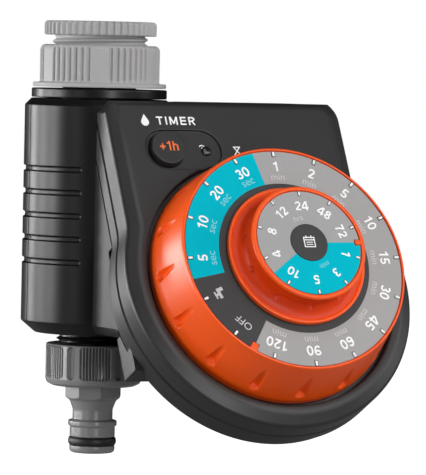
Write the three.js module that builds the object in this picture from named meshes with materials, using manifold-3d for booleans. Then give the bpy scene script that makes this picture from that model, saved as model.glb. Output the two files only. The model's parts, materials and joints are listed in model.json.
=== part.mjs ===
// Drip irrigation timer: a valve housing that hangs on a garden tap, with a tilted control unit on its front.
// Millimetres, +Z up. Water runs down the flow axis. The finished group stands on z = 0 with its
// bounding box centred on the origin. Each named mesh is one separate piece of the real assembly.
import * as THREE from "three";
import { mergeVertices } from "three/addons/utils/BufferGeometryUtils.js";
import Module from "manifold-3d";

const wasm = await Module();
wasm.setup();

// ---------- Driving dimensions ----------
const GAP = 0.3; // clearance between pieces that meet or turn
const WALL = 2.2; // moulded wall thickness

// Flow axis: radii, and heights above the nipple's lower end.
const NIPPLE = { r: 7.9, bore: 5.5, end: 9.1, collarR: 8.5, collarTop: 11.7, neckR: 7, neckTop: 16 };
const O_RING = { z: 4.1, r: 8.35, groove: 6.9, width: 3.1 };
const FLATS = { count: 8, r: 10, first: 37, low: 19.5, high: 23 }; // spanner flats, first corner in degrees
const HOSE_NUT = { r: 16.8, low: 23.5, high: 38.1, windows: 6, facing: 248.3, ribDepth: 0.9 };
const WINDOW_GROOVES = { count: 4, pitch: 9.6, slot: 5.4 }; // degrees round the nut
const OUTLET = { rootR: 12.1, crestR: 13.2, low: 27.2, high: 42, pitch: 1.85 }; // G 3/4 outside thread
const GRIP = { r: 25.75, endR: 21, low: 42, bodyLow: 46, bodyHigh: 121, high: 123.3, topR: 23.5 };
const GROOVES = { first: 67.2, pitch: 7.97, count: 5, width: 2, depth: 0.9, frontDeg: 51.5 };
const COLLAR = { r: 23.5, low: 123.6, high: 126.8 };
const SPIGOT = { neckR: 12.8, flangeR: 14.8, flangeLow: 130.2, flangeHigh: 132.2, bore: 7.6 };
const INLET_NUT = { flangeR: 23.2, low: 127.3, step: 128.8, r: 20.8, high: 142, holeR: 13.1, lands: 6 };
const TAP_THREAD = { rootR: 15.4, crestR: 16.6, pitch: 2.31 }; // G 1 between the nut and the adapter
const ADAPTER = { low: 135.9, ringLow: 145.3, high: 150.2, r: 19.5, ribs: 48, seat: 138.4, boreR: 8.5 };
const TAP_SOCKET = { rootR: 13.3, crestR: 12.2, pitch: 1.85 }; // G 3/4 inside thread for the tap

// Valve chamber, on a horizontal axis that points to the front at this height.
const VALVE = { z: 64, r: 14.5, back: 3, face: 12, seatR: 5.6, annulusR: 10.5, screwR: 13.1 };
const COIL = { r: 7.5, boreR: 3.4, back: 20.6, front: 32.6 };

// Cradle that carries the control unit, and the control unit's own frame: its origin is the dial axis on
// the front face, u to the right, v up the slope and w out of the face.
const TILT = 28; // degrees between the control face and the vertical
const UNIT = { x: 38, y: -62.2, z: 63.5 };
const CRADLE = { left: -11, right: 24, bottom: 43, upperW: -16.3, lowerW: -19.7, stepV: 19.7, cornerZ: 46, bevel: 2.4 };
const UNIT_TRAVEL_ROOM = 0.35; // clearance of the control unit around the grip tube

// Control unit case.
const CASE = { left: -49, right: 40, top: 76, cornerX: 31, cornerY: 62, cornerR: 9, drumR: 52.8, leftLead: 20, rightLead: 12 };
const BEVEL = { width: 4.6, depth: 2 };
const TOP_BEVEL = { across: 3.2, down: 4.2 }; // along the left edge of the level top
const SEAM = { cover: -9.8, shell: -10.2 };
const SHELL = { upperBack: -16, drumBack: -19.4, drumR: 52, boxBack: -26.4 };
const LOWER_BOX = { left: -49, right: 44, low: -25.5, high: -9.6 };
const BATTERY_BOX = { left: 13.3, right: 44, low: -25.5, high: 28.5 };
const DIAL_RECESS = { r: 45.5, floor: -3.4, under: -5.6, holeR: 10.6 };
const PILL = { left: -30, right: -16.5, v: 49.3, r: 7.4, depth: 1 };
const BUTTON = { u: -29.5, v: 49.3, r: 6.3, top: 2, flange: 7 };
const LED_WINDOW = { u: -14.5, v: 49.2, r: 1.8 };

// Dials, on the unit's w axis.
const BIG = { skirtR: 44, rimR: 40.9, low: -2.9, high: 19.1, plate: 18.05, labelTop: 18.7, wall: 2.6 };
const BIG_LABEL = { inner: 22.5, outer: 39.5, thick: 0.35 };
const FLUTES = { count: 16, r: 4.2, reach: 42.2 };
const HUB = { r: 8.4, boreR: 6.2, low: -8.2 };
const SMALL = { flangeR: 24.9, low: 19.05, flangeTop: 20.6, rimR: 20.7, high: 31, plate: 30, wall: 2.2 };
const DIMPLES = { count: 10, r: 1.6, reach: 19.4, low: 22, high: 27 };
const SMALL_LABEL = { inner: 6.8, outer: 18.8, thick: 0.35 };
const CAP = { r: 6.45, high: 31 };
const SHAFT = { r: 4.2, low: -14.6, high: 27.4 };
const WHEEL = { bigR: 13, smallR: 12, bigLow: -7.8, bigHigh: -6, smallLow: -12.4, smallHigh: -10.8 };
const BOARD = { low: -10.2, high: -8.6 };

// 9 V block battery and its compartment.
const BATTERY = { u: 28.75, width: 26.5, low: -23.6, length: 46.5, back: -24.2, thick: 17.5 };
const DOOR = { left: 15.6, right: 41.9, low: -23.4, high: 24.6, thick: 1.8 };

// ---------- Materials ----------
const finish = (color, roughness, metalness = 0) =>
  new THREE.MeshStandardMaterial({ color, roughness, metalness });
const HOUSING = finish("#3c3c3d", 0.6);
const BLACK = finish("#1f1f20", 0.65);
const ORANGE = finish("#ff5a1e", 0.4);
const PALE_GREY = finish("#b4b4b4", 0.5);
const MID_GREY = finish("#6e6e6e", 0.5);
const LABEL_GREY = finish("#a2a2a2", 0.4);
const RUBBER = finish("#161616", 0.9);
const CLEAR = finish("#8a8a8a", 0.1);
const STEEL = finish("#c8c8c8", 0.3, 1);
const COPPER = finish("#b5652b", 0.4, 0.9);
const BOARD_GREEN = finish("#1f6b3a", 0.6);
const BATTERY_SLEEVE = finish("#31507a", 0.4);

// ---------- Solids ----------
const rad = THREE.MathUtils.degToRad;

// A closed three.js geometry as a solid that can be joined and cut.
function solid(geometry) {
  const plain = geometry.clone();
  plain.deleteAttribute("normal");
  plain.deleteAttribute("uv");
  const merged = mergeVertices(plain, 1e-4);
  const kept = [];
  for (let i = 0; i < merged.index.count; i += 3) {
    const [a, b, c] = [0, 1, 2].map((k) => merged.index.getX(i + k));
    if (a !== b && b !== c && c !== a) kept.push(a, b, c);
  }
  const vertProperties = merged.attributes.position.array;
  return new wasm.Manifold(new wasm.Mesh({ numProp: 3, vertProperties, triVerts: new Uint32Array(kept) }));
}

// A solid as a three.js geometry.
function geometryOf(body) {
  const mesh = body.getMesh();
  const positions = new Float32Array(mesh.numVert * 3);
  for (let i = 0; i < mesh.numVert; i++) {
    const first = i * mesh.numProp;
    positions.set(mesh.vertProperties.subarray(first, first + 3), i * 3);
  }
  const geometry = new THREE.BufferGeometry();
  geometry.setAttribute("position", new THREE.BufferAttribute(positions, 3));
  geometry.setIndex(new THREE.BufferAttribute(new Uint32Array(mesh.triVerts), 1));
  return geometry;
}

const join = (...bodies) => bodies.reduce((a, b) => a.add(b));
const cut = (body, ...tools) => tools.reduce((a, b) => a.subtract(b), body);

// Turned solid about Z from a closed profile of [radius, height] points, listed anticlockwise.
function turned(profile, segments = 24) {
  const points = [...profile, profile[0]].map(([r, z]) => new THREE.Vector2(r, z));
  return solid(new THREE.LatheGeometry(points, segments).rotateX(Math.PI / 2));
}

const disc = (r, low, high, segments = 24) =>
  solid(new THREE.CylinderGeometry(r, r, high - low, segments).rotateX(Math.PI / 2).translate(0, 0, (low + high) / 2));

const ring = (inner, outer, low, high, segments = 24) =>
  turned([[inner, low], [outer, low], [outer, high], [inner, high]], segments);

// Block between two corners.
function block(low, high) {
  const size = high.map((value, i) => value - low[i]);
  const centre = high.map((value, i) => (value + low[i]) / 2);
  return solid(new THREE.BoxGeometry(...size).translate(...centre));
}

const move = (body, x, y, z) => body.translate([x, y, z]);

// Prism from a closed outline of [x, y] points between two heights.
function prism(points, low, high) {
  const shape = new THREE.Shape(points.map(([x, y]) => new THREE.Vector2(x, y)));
  const geometry = new THREE.ExtrudeGeometry(shape, { depth: high - low, bevelEnabled: false });
  return solid(geometry.translate(0, 0, low));
}

// Points on a circular arc, both ends included.
function arc(x, y, r, from, to, steps) {
  return Array.from({ length: steps + 1 }, (_, i) => {
    const angle = rad(from + ((to - from) * i) / steps);
    return [x + r * Math.cos(angle), y + r * Math.sin(angle)];
  });
}

// Zigzag profile of a ring thread between two heights, as [radius, height] points going up.
function threadProfile(low, high, rootR, crestR, pitch) {
  const turns = Math.floor((high - low) / pitch);
  return Array.from({ length: turns }, (_, i) => [
    [rootR, low + i * pitch],
    [crestR, low + (i + 0.5) * pitch],
  ]).flat();
}

// Cylinder along Y, between two distances in front of the flow axis, at height z.
const forward = (r, back, front, x, z, segments = 20) =>
  disc(r, back, front, segments).rotate([90, 0, 0]).translate([x, 0, z]);
const forwardRing = (inner, outer, back, front, x, z, segments = 20) =>
  ring(inner, outer, back, front, segments).rotate([90, 0, 0]).translate([x, 0, z]);

// Outline of a ring with evenly spread V grooves, as [x, y] points: `toothed` says where grooves go.
function ribbedOutline(r, depth, count, toothed = () => true) {
  const pitch = 360 / count;
  return Array.from({ length: count }, (_, i) => {
    const start = i * pitch;
    const low = toothed(i) ? r - depth : r;
    return [[r, 0], [low, 0.5]].map(([radius, share]) => {
      const angle = rad(start + share * pitch);
      return [radius * Math.cos(angle), radius * Math.sin(angle)];
    });
  }).flat();
}

// Coil spring of round wire along Z.
function coilSpring(r, wire, low, high, turns) {
  class Helix extends THREE.Curve {
    getPoint(t, target = new THREE.Vector3()) {
      const angle = 2 * Math.PI * turns * t;
      return target.set(r * Math.cos(angle), r * Math.sin(angle), low + wire + (high - low - 2 * wire) * t);
    }
  }
  const section = new THREE.Shape(arc(0, 0, wire, 0, 270, 3).map(([x, y]) => new THREE.Vector2(x, y)));
  return solid(new THREE.ExtrudeGeometry(section, { steps: turns * 8, extrudePath: new Helix() }));
}

// Screw along Z with its head on top: a slotted round head and a plain shank.
function screw(low, high, headR = 2.4, headHeight = 1.6) {
  const shank = disc(1.2, low, high - 0.8, 8);
  const head = disc(headR, high - headHeight, high, 12);
  const slot = block([-headR - 1, -0.3, high - 0.7], [headR + 1, 0.3, high + 1]);
  return cut(join(shank, head), slot);
}

// ---------- Frames ----------
const timer = new THREE.Group();
const unit = new THREE.Group();
unit.position.set(UNIT.x, UNIT.y, UNIT.z);
unit.rotation.x = rad(90 - TILT);
timer.add(unit);
unit.updateMatrixWorld(true);

function add(group, name, body, material) {
  const mesh = new THREE.Mesh(geometryOf(body), material);
  mesh.name = name;
  group.add(mesh);
}

// A solid from the flow axis's frame, as the control unit's frame sees it.
const UNIT_TO_FLOW = unit.matrixWorld.clone();
const FLOW_TO_UNIT = unit.matrixWorld.clone().invert();
const seenFromUnit = (body) => solid(geometryOf(body).applyMatrix4(FLOW_TO_UNIT));
const fromUnitToFlow = (body) => solid(geometryOf(body).applyMatrix4(UNIT_TO_FLOW));

// [y, z] in the flow axis's frame of a point at v, w in the unit's frame.
function flowPoint(v, w) {
  const point = new THREE.Vector3(0, v, w).applyMatrix4(UNIT_TO_FLOW);
  return [point.y, point.z];
}

// ---------- Tap side ----------
function inletNut() {
  const lands = (i) => i % 8 !== 0; // seven grooves, then one smooth land
  const ribs = prism(ribbedOutline(INLET_NUT.r, 0.8, INLET_NUT.lands * 8, lands), INLET_NUT.step - 0.4, INLET_NUT.high);
  const envelope = turned([
    [0, INLET_NUT.low],
    [INLET_NUT.flangeR, INLET_NUT.low],
    [INLET_NUT.flangeR, INLET_NUT.step],
    [INLET_NUT.r + 0.1, INLET_NUT.step],
    [INLET_NUT.r + 0.1, INLET_NUT.high - 2.2],
    [INLET_NUT.r - 0.6, INLET_NUT.high - 0.6],
    [INLET_NUT.r - 2.2, INLET_NUT.high],
    [0, INLET_NUT.high],
  ], 32);
  const body = envelope.intersect(join(ribs, disc(INLET_NUT.flangeR + 1, INLET_NUT.low - 1, INLET_NUT.step, 24)));
  const chamber = SPIGOT.flangeLow - GAP;
  const thread = threadProfile(ADAPTER.low, INLET_NUT.high, TAP_THREAD.rootR + 2 * GAP, TAP_THREAD.crestR + GAP + 0.1, TAP_THREAD.pitch);
  const bore = turned([
    [0, INLET_NUT.low - 1],
    [INLET_NUT.holeR, INLET_NUT.low - 1],
    [INLET_NUT.holeR, chamber],
    [TAP_THREAD.rootR + GAP, chamber],
    [TAP_THREAD.rootR + GAP, ADAPTER.low - 0.5],
    ...thread,
    [TAP_THREAD.crestR + GAP, INLET_NUT.high - 0.2],
    [TAP_THREAD.crestR + GAP, INLET_NUT.high + 1],
    [0, INLET_NUT.high + 1],
  ], 16);
  return cut(body, bore);
}

function tapAdapter() {
  const knurl = prism(ribbedOutline(ADAPTER.r, 0.8, ADAPTER.ribs), ADAPTER.ringLow, ADAPTER.high);
  const thread = threadProfile(ADAPTER.low, ADAPTER.ringLow - 0.8, TAP_THREAD.rootR, TAP_THREAD.crestR, TAP_THREAD.pitch);
  const shank = turned([
    [0, ADAPTER.low],
    ...thread,
    [TAP_THREAD.rootR, ADAPTER.ringLow - 0.6],
    [TAP_THREAD.rootR, ADAPTER.ringLow + 1],
    [0, ADAPTER.ringLow + 1],
  ], 16);
  const socketThread = threadProfile(ADAPTER.seat + 2.6, ADAPTER.high - 0.6, TAP_SOCKET.crestR, TAP_SOCKET.rootR, TAP_SOCKET.pitch);
  const socket = turned([
    [0, ADAPTER.seat],
    [TAP_SOCKET.rootR, ADAPTER.seat],
    [TAP_SOCKET.rootR, ADAPTER.seat + 2.2],
    ...socketThread,
    [TAP_SOCKET.rootR, ADAPTER.high + 1],
    [0, ADAPTER.high + 1],
  ], 16);
  return cut(join(knurl, shank), socket, disc(ADAPTER.boreR, ADAPTER.low - 1, ADAPTER.high, 32));
}

function inletFilter() {
  const z = SPIGOT.flangeHigh + GAP;
  const cup = turned([[0, 112], [6.9, 112], [6.9, z], [13.6, z], [13.6, z + 0.8], [6, z + 0.8], [6, 113.2], [0, 113.2]], 16);
  const windows = [0, 60, 120].map((angle) => block([-8, -1.6, 115], [8, 1.6, 129]).rotate([0, 0, angle]));
  return cut(cup, ...windows);
}

// ---------- Valve housing ----------
function gripTube() {
  return turned([
    [0, GRIP.low],
    [GRIP.endR, GRIP.low],
    [GRIP.r, GRIP.bodyLow],
    [GRIP.r, GRIP.bodyHigh],
    [GRIP.topR, GRIP.high],
    [0, GRIP.high],
  ], 32);
}

function gripHollow() {
  const r = GRIP.r - WALL;
  return turned([
    [0, GRIP.low + WALL],
    [GRIP.endR - 1.5, GRIP.low + WALL],
    [r, GRIP.bodyLow + 1.5],
    [r, GRIP.bodyHigh - 2],
    [r - 2, GRIP.high - WALL],
    [0, GRIP.high - WALL],
  ], 20);
}

// Side view of the cradle, drawn in [y, z] and swept along X. `wall` insets it for the hollow.
function cradle(wall) {
  const upper = CRADLE.upperW - wall;
  const lower = CRADLE.lowerW - wall;
  const back = wall ? -10 : -14;
  const [cornerY] = flowPoint(-9.3, lower);
  const cornerZ = CRADLE.cornerZ + wall * 0.6;
  const outline = [
    [back, CRADLE.bottom + wall],
    [cornerY + 6.5, CRADLE.bottom + wall],
    [cornerY + wall * 0.4, cornerZ],
    flowPoint(CRADLE.stepV - wall, lower),
    flowPoint(CRADLE.stepV - wall, upper),
    flowPoint(56, upper),
    [back, flowPoint(56, upper)[1]],
  ];
  // The sketch plane's x is Y and its y is Z, so the prism is turned to run along X.
  const turn = new THREE.Matrix4().makeBasis(
    new THREE.Vector3(0, 1, 0),
    new THREE.Vector3(0, 0, 1),
    new THREE.Vector3(1, 0, 0),
  );
  const flat = prism(outline.reverse(), CRADLE.left + wall, CRADLE.right - wall);
  const swept = solid(geometryOf(flat).applyMatrix4(turn));
  // Bevel along the lower left edge, as high as the tube's own foot bevel.
  const rise = CRADLE.cornerZ - CRADLE.bottom;
  const onBevel = (k) => [CRADLE.left + k * CRADLE.bevel, CRADLE.cornerZ - k * rise];
  const below = [onBevel(-1)[0], onBevel(2)[1]];
  const wedge = prism([onBevel(-1), below, onBevel(2)], -back, -UNIT.y).rotate([90, 0, 0]);
  return wall ? swept : cut(swept, wedge);
}

function gripGrooves() {
  const from = 180 - GROOVES.frontDeg;
  const to = 180 + GROOVES.frontDeg;
  const sector = (a, b) => [...arc(0, 0, GRIP.r + 2, a, b, 2), ...arc(0, 0, GRIP.r - GROOVES.depth, b, a, 5)];
  const cuts = Array.from({ length: GROOVES.count }, (_, i) => {
    const z = GROOVES.first + i * GROOVES.pitch;
    const left = prism(sector(from, to), z - GROOVES.width / 2, z + GROOVES.width / 2);
    const right = prism(sector(4, GROOVES.frontDeg), z - GROOVES.width / 2, z + GROOVES.width / 2);
    return [left, right];
  }).flat();
  return cuts;
}

const HOUSING_SCREWS = [[-19, 55], [19, 55], [-19, 112], [19, 112]]; // [x, z]

function housing() {
  const hollow = join(gripHollow(), cradle(WALL));
  const bosses = HOUSING_SCREWS.map(([x, z]) => forward(3.2, -14, 9, x, z, 16));
  const posts = join(...bosses).intersect(gripTube());
  const shell = join(cut(join(gripTube(), cradle(0)), hollow), posts);
  const holes = HOUSING_SCREWS.map(([x, z]) =>
    join(forward(1.2 + GAP, -15, 10, x, z, 10), forward(2.4 + GAP, -26, -12.2, x, z, 14)),
  );
  const topHole = disc(SPIGOT.flangeR - 0.3, GRIP.high - 4, GRIP.high + 1);
  const outletHole = disc(OUTLET.crestR + 0.5, GRIP.low - 1, GRIP.low + 4);
  const plugHole = fromUnitToFlow(block([-41.3, 26.2, -20], [-30.7, 33.8, -15]));
  return cut(shell, topHole, outletHole, plugHole, ...holes, ...gripGrooves());
}

function valveBody() {
  const thread = turned([
    [0, OUTLET.low],
    ...threadProfile(OUTLET.low, OUTLET.high - 1, OUTLET.rootR, OUTLET.crestR, OUTLET.pitch),
    [OUTLET.rootR, OUTLET.high + 1],
    [0, OUTLET.high + 1],
  ], 16);
  const outer = turned([
    [0, OUTLET.high],
    [12.9, OUTLET.high],
    [12.9, GRIP.high - 6],
    [14.2, GRIP.high - 5],
    [14.2, COLLAR.low],
    [COLLAR.r, COLLAR.low],
    [COLLAR.r, COLLAR.high],
    [SPIGOT.neckR, COLLAR.high],
    [SPIGOT.neckR, SPIGOT.flangeLow],
    [SPIGOT.flangeR, SPIGOT.flangeLow],
    [SPIGOT.flangeR, SPIGOT.flangeHigh],
    [0, SPIGOT.flangeHigh],
  ], 24);
  const chamber = forward(VALVE.r, VALVE.back, VALVE.face, 0, VALVE.z, 24);
  const annulus = forwardRing(VALVE.seatR, VALVE.annulusR, 7, VALVE.face + 1, 0, VALVE.z, 20);
  const seat = forward(4.4, 0, VALVE.face + 1, 0, VALVE.z - 0.5, 14);
  const inlet = disc(SPIGOT.bore, 70.5, SPIGOT.flangeHigh + 1, 20);
  const outlet = disc(6.4, OUTLET.low - 1, 67, 20);
  const port = forward(2.3, 0, 8, 0, VALVE.z + 8, 12);
  const pilots = screwSpots().map(([x, z]) => forward(1.2 + GAP, 4, VALVE.face + 1, x, z, 10));
  const frontFace = block([-16, -40, VALVE.z - 15], [16, -VALVE.face, VALVE.z + 15]);
  return cut(join(outer, thread, chamber), frontFace, annulus, seat, inlet, outlet, port, ...pilots);
}

// Bonnet screw places round the chamber, as [x, z].
const screwSpots = () => arc(0, VALVE.z, VALVE.screwR - 0.4, 45, 315, 3);

function diaphragm() {
  const front = VALVE.face + GAP;
  const web = forward(10.8, front, front + 1, 0, VALVE.z, 20);
  const bead = forwardRing(9.4, 11, front, front + 1.6, 0, VALVE.z, 20);
  return join(web, bead, forward(4, front, front + 2, 0, VALVE.z, 12));
}

function bonnet() {
  const back = VALVE.face + GAP;
  const body = forward(VALVE.r, back, back + 5.3, 0, VALVE.z, 24);
  const pocket = forward(11.4, back - 1, back + 1.9, 0, VALVE.z, 20);
  const dome = forward(5.5, back, back + 3.4, 0, VALVE.z, 12);
  const sleeve = forwardRing(3.1, 4.4, back + 5, COIL.back + 0.4, 0, VALVE.z, 16);
  const bore = forward(3.1, back + 3.9, back + 8, 0, VALVE.z, 16);
  const holes = screwSpots().map(([x, z]) => forward(1.2 + GAP, back - 1, back + 7, x, z, 10));
  return cut(join(body, sleeve), pocket, dome, bore, ...holes);
}

function bonnetScrew([x, z]) {
  return screw(5.5, VALVE.face + GAP + 5.6 + 1.5, 2.1, 1.5).rotate([90, 0, 0]).translate([x, 0, z]);
}

function housingScrew([x, z]) {
  return screw(-8.5, 12.2 + 1.6 + GAP).rotate([-90, 0, 0]).translate([x, 0, z]);
}

// Coil with the iron yoke that closes its front end.
function solenoidCoil() {
  const winding = forwardRing(COIL.boreR, COIL.r, COIL.back + 0.7, COIL.front, 0, VALVE.z, 20);
  return join(winding, forward(COIL.r, COIL.front - 1, COIL.front + 1.2, 0, VALVE.z, 20));
}

function solenoidPlunger() {
  const front = COIL.front - 3.4;
  return cut(
    join(forward(2.8, 17.2, front, 0, VALVE.z, 20), forward(1, 16.4, 18, 0, VALVE.z, 10)),
    forward(1.9, front - 7, front + 1, 0, VALVE.z, 14),
  );
}

function plungerSpring() {
  return coilSpring(1.3, 0.3, COIL.front - 8.3, COIL.front - 1.3, 5).rotate([90, 0, 0]).translate([0, 0, VALVE.z]);
}

// Two pins that carry the solenoid's current into the control unit's socket, along w.
function contactPlug() {
  const base = block([-42.5, 25, -21.6], [-29.5, 35, -18.9]);
  const pins = [-38, -34].map((u) => move(disc(0.9, -20, -13, 12), u, 30, 0));
  return fromUnitToFlow(join(base, ...pins));
}

// ---------- Hose side ----------
// Outline of the hose nut: sets of V grooves, and halfway between two sets one flat-bottomed slot.
function windowedOutline() {
  const at = (degrees, depth) => {
    const angle = rad(HOSE_NUT.facing + degrees);
    return [(HOSE_NUT.r - depth) * Math.cos(angle), (HOSE_NUT.r - depth) * Math.sin(angle)];
  };
  const { count, pitch, slot } = WINDOW_GROOVES;
  const period = 360 / HOSE_NUT.windows;
  return Array.from({ length: HOSE_NUT.windows }, (_, i) => {
    const start = i * period - (count * pitch) / 2;
    const grooves = Array.from({ length: count }, (_, k) => [
      at(start + k * pitch, 0),
      at(start + (k + 0.5) * pitch, HOSE_NUT.ribDepth),
    ]).flat();
    const middle = (i + 0.5) * period;
    return [
      ...grooves,
      at(start + count * pitch, 0),
      at(middle - slot - 0.6, 0),
      at(middle - slot + 0.6, HOSE_NUT.ribDepth),
      at(middle + slot - 0.6, HOSE_NUT.ribDepth),
      at(middle + slot + 0.6, 0),
    ];
  }).flat();
}

function hoseConnector() {
  const nut = prism(windowedOutline(), HOSE_NUT.low, HOSE_NUT.high);
  const envelope = turned([
    [0, HOSE_NUT.low],
    [HOSE_NUT.r - 1.6, HOSE_NUT.low],
    [HOSE_NUT.r + 0.3, HOSE_NUT.low + 2],
    [HOSE_NUT.r + 0.3, HOSE_NUT.high],
    [0, HOSE_NUT.high],
  ], 24);
  const corner = 360 / FLATS.count;
  const flats = prism(
    arc(0, 0, FLATS.r, FLATS.first, FLATS.first + 360 - corner, FLATS.count - 1),
    FLATS.low,
    FLATS.high + 1,
  );
  const stem = turned([
    [0, 0],
    [NIPPLE.r - 1.2, 0],
    [NIPPLE.r, 1.2],
    [NIPPLE.r, O_RING.z - O_RING.width / 2],
    [O_RING.groove, O_RING.z - O_RING.width / 2],
    [O_RING.groove, O_RING.z + O_RING.width / 2],
    [NIPPLE.r, O_RING.z + O_RING.width / 2],
    [NIPPLE.r, NIPPLE.end],
    [NIPPLE.collarR, NIPPLE.end],
    [NIPPLE.collarR, NIPPLE.collarTop],
    [NIPPLE.neckR, NIPPLE.collarTop],
    [NIPPLE.neckR, NIPPLE.neckTop],
    [FLATS.r - 1.3, FLATS.low],
    [FLATS.r - 1.3, FLATS.high + 1],
    [0, FLATS.high + 1],
  ], 24);
  const socket = turned([
    [0, HOSE_NUT.low + 1.6],
    [OUTLET.crestR + GAP, HOSE_NUT.low + 1.6],
    [OUTLET.crestR + GAP, HOSE_NUT.high + 1],
    [0, HOSE_NUT.high + 1],
  ], 16);
  const body = join(nut.intersect(envelope), flats, stem);
  return cut(body, socket, disc(NIPPLE.bore, -1, HOSE_NUT.high, 20));
}

// ---------- Control unit case ----------
// Hollow arc that leads a straight flank into the drum: where its centre lies, and the angle it meets the drum at.
function leadIn(flank, radius, inset) {
  const across = flank + radius;
  const level = Math.sqrt((CASE.drumR + radius) ** 2 - across ** 2);
  return { across, level, r: radius + inset, angle: THREE.MathUtils.radToDeg(Math.atan2(level, across)) };
}

// Outline of the case seen along w, inset evenly: a drum with a flat-sided panel above it.
function caseOutline(inset) {
  const left = leadIn(-CASE.left, CASE.leftLead, inset);
  const right = leadIn(CASE.right, CASE.rightLead, inset);
  return [
    ...arc(0, 0, CASE.drumR - inset, 180 - left.angle, 360 + right.angle, 24),
    ...arc(right.across, right.level, right.r, 180 + right.angle, 180, 3).slice(1),
    ...arc(CASE.cornerX, CASE.cornerY, CASE.cornerR - inset, 0, 90, 4),
    [CASE.cornerX - 5, CASE.top - inset],
    [CASE.left + inset, CASE.top - inset],
    ...arc(-left.across, left.level, left.r, 0, -left.angle, 3).slice(0, -1),
  ];
}

// What the grip tube, the level top and the bevel along the top's left edge take away from the case,
// in the unit's frame.
function flowClearance(extra) {
  const tube = disc(GRIP.r + UNIT_TRAVEL_ROOM + extra, -50, 250, 24);
  const top = GRIP.high - 0.3 - extra;
  const above = block([-100, -200, top], [200, 100, 250]);
  const side = UNIT.x + CASE.left + extra;
  const onBevel = (k) => [side + k * TOP_BEVEL.across, top + (k - 1) * TOP_BEVEL.down];
  const beside = [onBevel(-1)[0], onBevel(2)[1]];
  const bevel = prism([onBevel(-1), onBevel(2), beside], -60, 200).rotate([90, 0, 0]);
  return seenFromUnit(join(tube, above, bevel));
}

const CASE_SCREWS = [[-41.5, 40], [33, 54], [33.5, -30], [-33, -29.5]]; // [u, v]

function frontCover() {
  const outline = new THREE.Shape(caseOutline(0).map(([x, y]) => new THREE.Vector2(x, y)));
  const bevelled = new THREE.ExtrudeGeometry(outline, {
    depth: 20,
    bevelThickness: BEVEL.depth,
    bevelSize: BEVEL.width,
    bevelOffset: -BEVEL.width,
    bevelSegments: 1,
  }).translate(0, 0, -20 - BEVEL.depth);
  const outside = cut(solid(bevelled), block([-100, -100, -30], [100, 100, SEAM.cover]), flowClearance(0));
  const cavity = cut(prism(caseOutline(WALL), -30, -3), flowClearance(WALL));
  const bowl = disc(DIAL_RECESS.r + 2, DIAL_RECESS.under, -2.5, 24);
  const pillFloor = block([PILL.left - 9, PILL.v - 9, -3.4], [PILL.right + 9, PILL.v + 9, -2.5]);
  const bosses = CASE_SCREWS.map(([u, v]) => move(disc(2.8, SEAM.cover, -2.5, 10), u, v, 0));
  const inside = join(cavity, disc(1, -40, -31, 8)).intersect(block([-100, -100, -30], [100, 100, -2.9]));
  const shell = join(cut(outside, inside), bowl, pillFloor, ...bosses);
  const pill = prism(
    [...arc(PILL.right, PILL.v, PILL.r, -90, 90, 8), ...arc(PILL.left, PILL.v, PILL.r, 90, 270, 8)],
    -PILL.depth,
    2,
  );
  return cut(
    shell,
    disc(DIAL_RECESS.r, DIAL_RECESS.floor, 5, 36),
    disc(DIAL_RECESS.holeR, -10, 5, 20),
    pill,
    move(disc(BUTTON.r + GAP, -6, 5, 20), BUTTON.u, BUTTON.v, 0),
    move(disc(LED_WINDOW.r + GAP, -6, 5, 12), LED_WINDOW.u, LED_WINDOW.v, 0),
    ...CASE_SCREWS.map(([u, v]) => move(disc(1.2 + GAP, -12, -4, 12), u, v, 0)),
  );
}

function rearShell() {
  const boxOf = (box, wall, front) =>
    block([box.left + wall, box.low + wall, SHELL.boxBack + wall], [box.right - wall, box.high - wall, front]);
  const cradleSide = (wall) =>
    block([-100, CRADLE.stepV - 0.3 - wall, -60], [CRADLE.right - UNIT.x + 0.5 + wall, 100, SHELL.upperBack + wall]);
  const outside = cut(
    join(
      prism(caseOutline(0), SHELL.upperBack, SEAM.shell),
      disc(SHELL.drumR, SHELL.drumBack, SHELL.upperBack + 0.5, 32),
      boxOf(LOWER_BOX, 0, SHELL.upperBack),
      boxOf(BATTERY_BOX, 0, SHELL.upperBack),
    ),
    cradleSide(0),
    flowClearance(0),
  );
  const cavity = cut(
    join(
      prism(caseOutline(WALL), SHELL.upperBack + WALL, 0),
      disc(SHELL.drumR - WALL, SHELL.drumBack + WALL, 0, 20),
      boxOf(LOWER_BOX, WALL, 0),
      boxOf(BATTERY_BOX, WALL - 0.4, 0),
    ),
    cradleSide(WALL),
    flowClearance(WALL),
  );
  const bosses = CASE_SCREWS.map(([u, v], i) =>
    move(disc(2.8, (i < 2 ? SHELL.upperBack : SHELL.drumBack) + 0.4, SEAM.shell, 10), u, v, 0),
  );
  const holes = CASE_SCREWS.map(([u, v]) =>
    join(move(disc(1.2 + GAP, -40, 0, 12), u, v, 0), move(disc(2.4 + GAP, -40, SCREW_SEAT, 18), u, v, 0)),
  );
  const door = block([DOOR.left - GAP, DOOR.low - GAP, -40], [DOOR.right + GAP, DOOR.high + GAP, -20]);
  const socketHole = block([-40.5, 27, -17], [-31.5, 33, -13]);
  return cut(join(cut(outside, cavity), ...bosses), ...holes, door, socketHole);
}
const SCREW_SEAT = -13.4; // where the case screws' heads rest

// Rubber cord that lies just inside the seam and follows the whole opening.
function caseSeal() {
  const opening = (inset, low, high) => cut(prism(caseOutline(inset), low, high), flowClearance(inset));
  return cut(opening(WALL + GAP, -10.9, -9.3), opening(WALL + GAP + 1.2, -12, -8));
}

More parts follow.
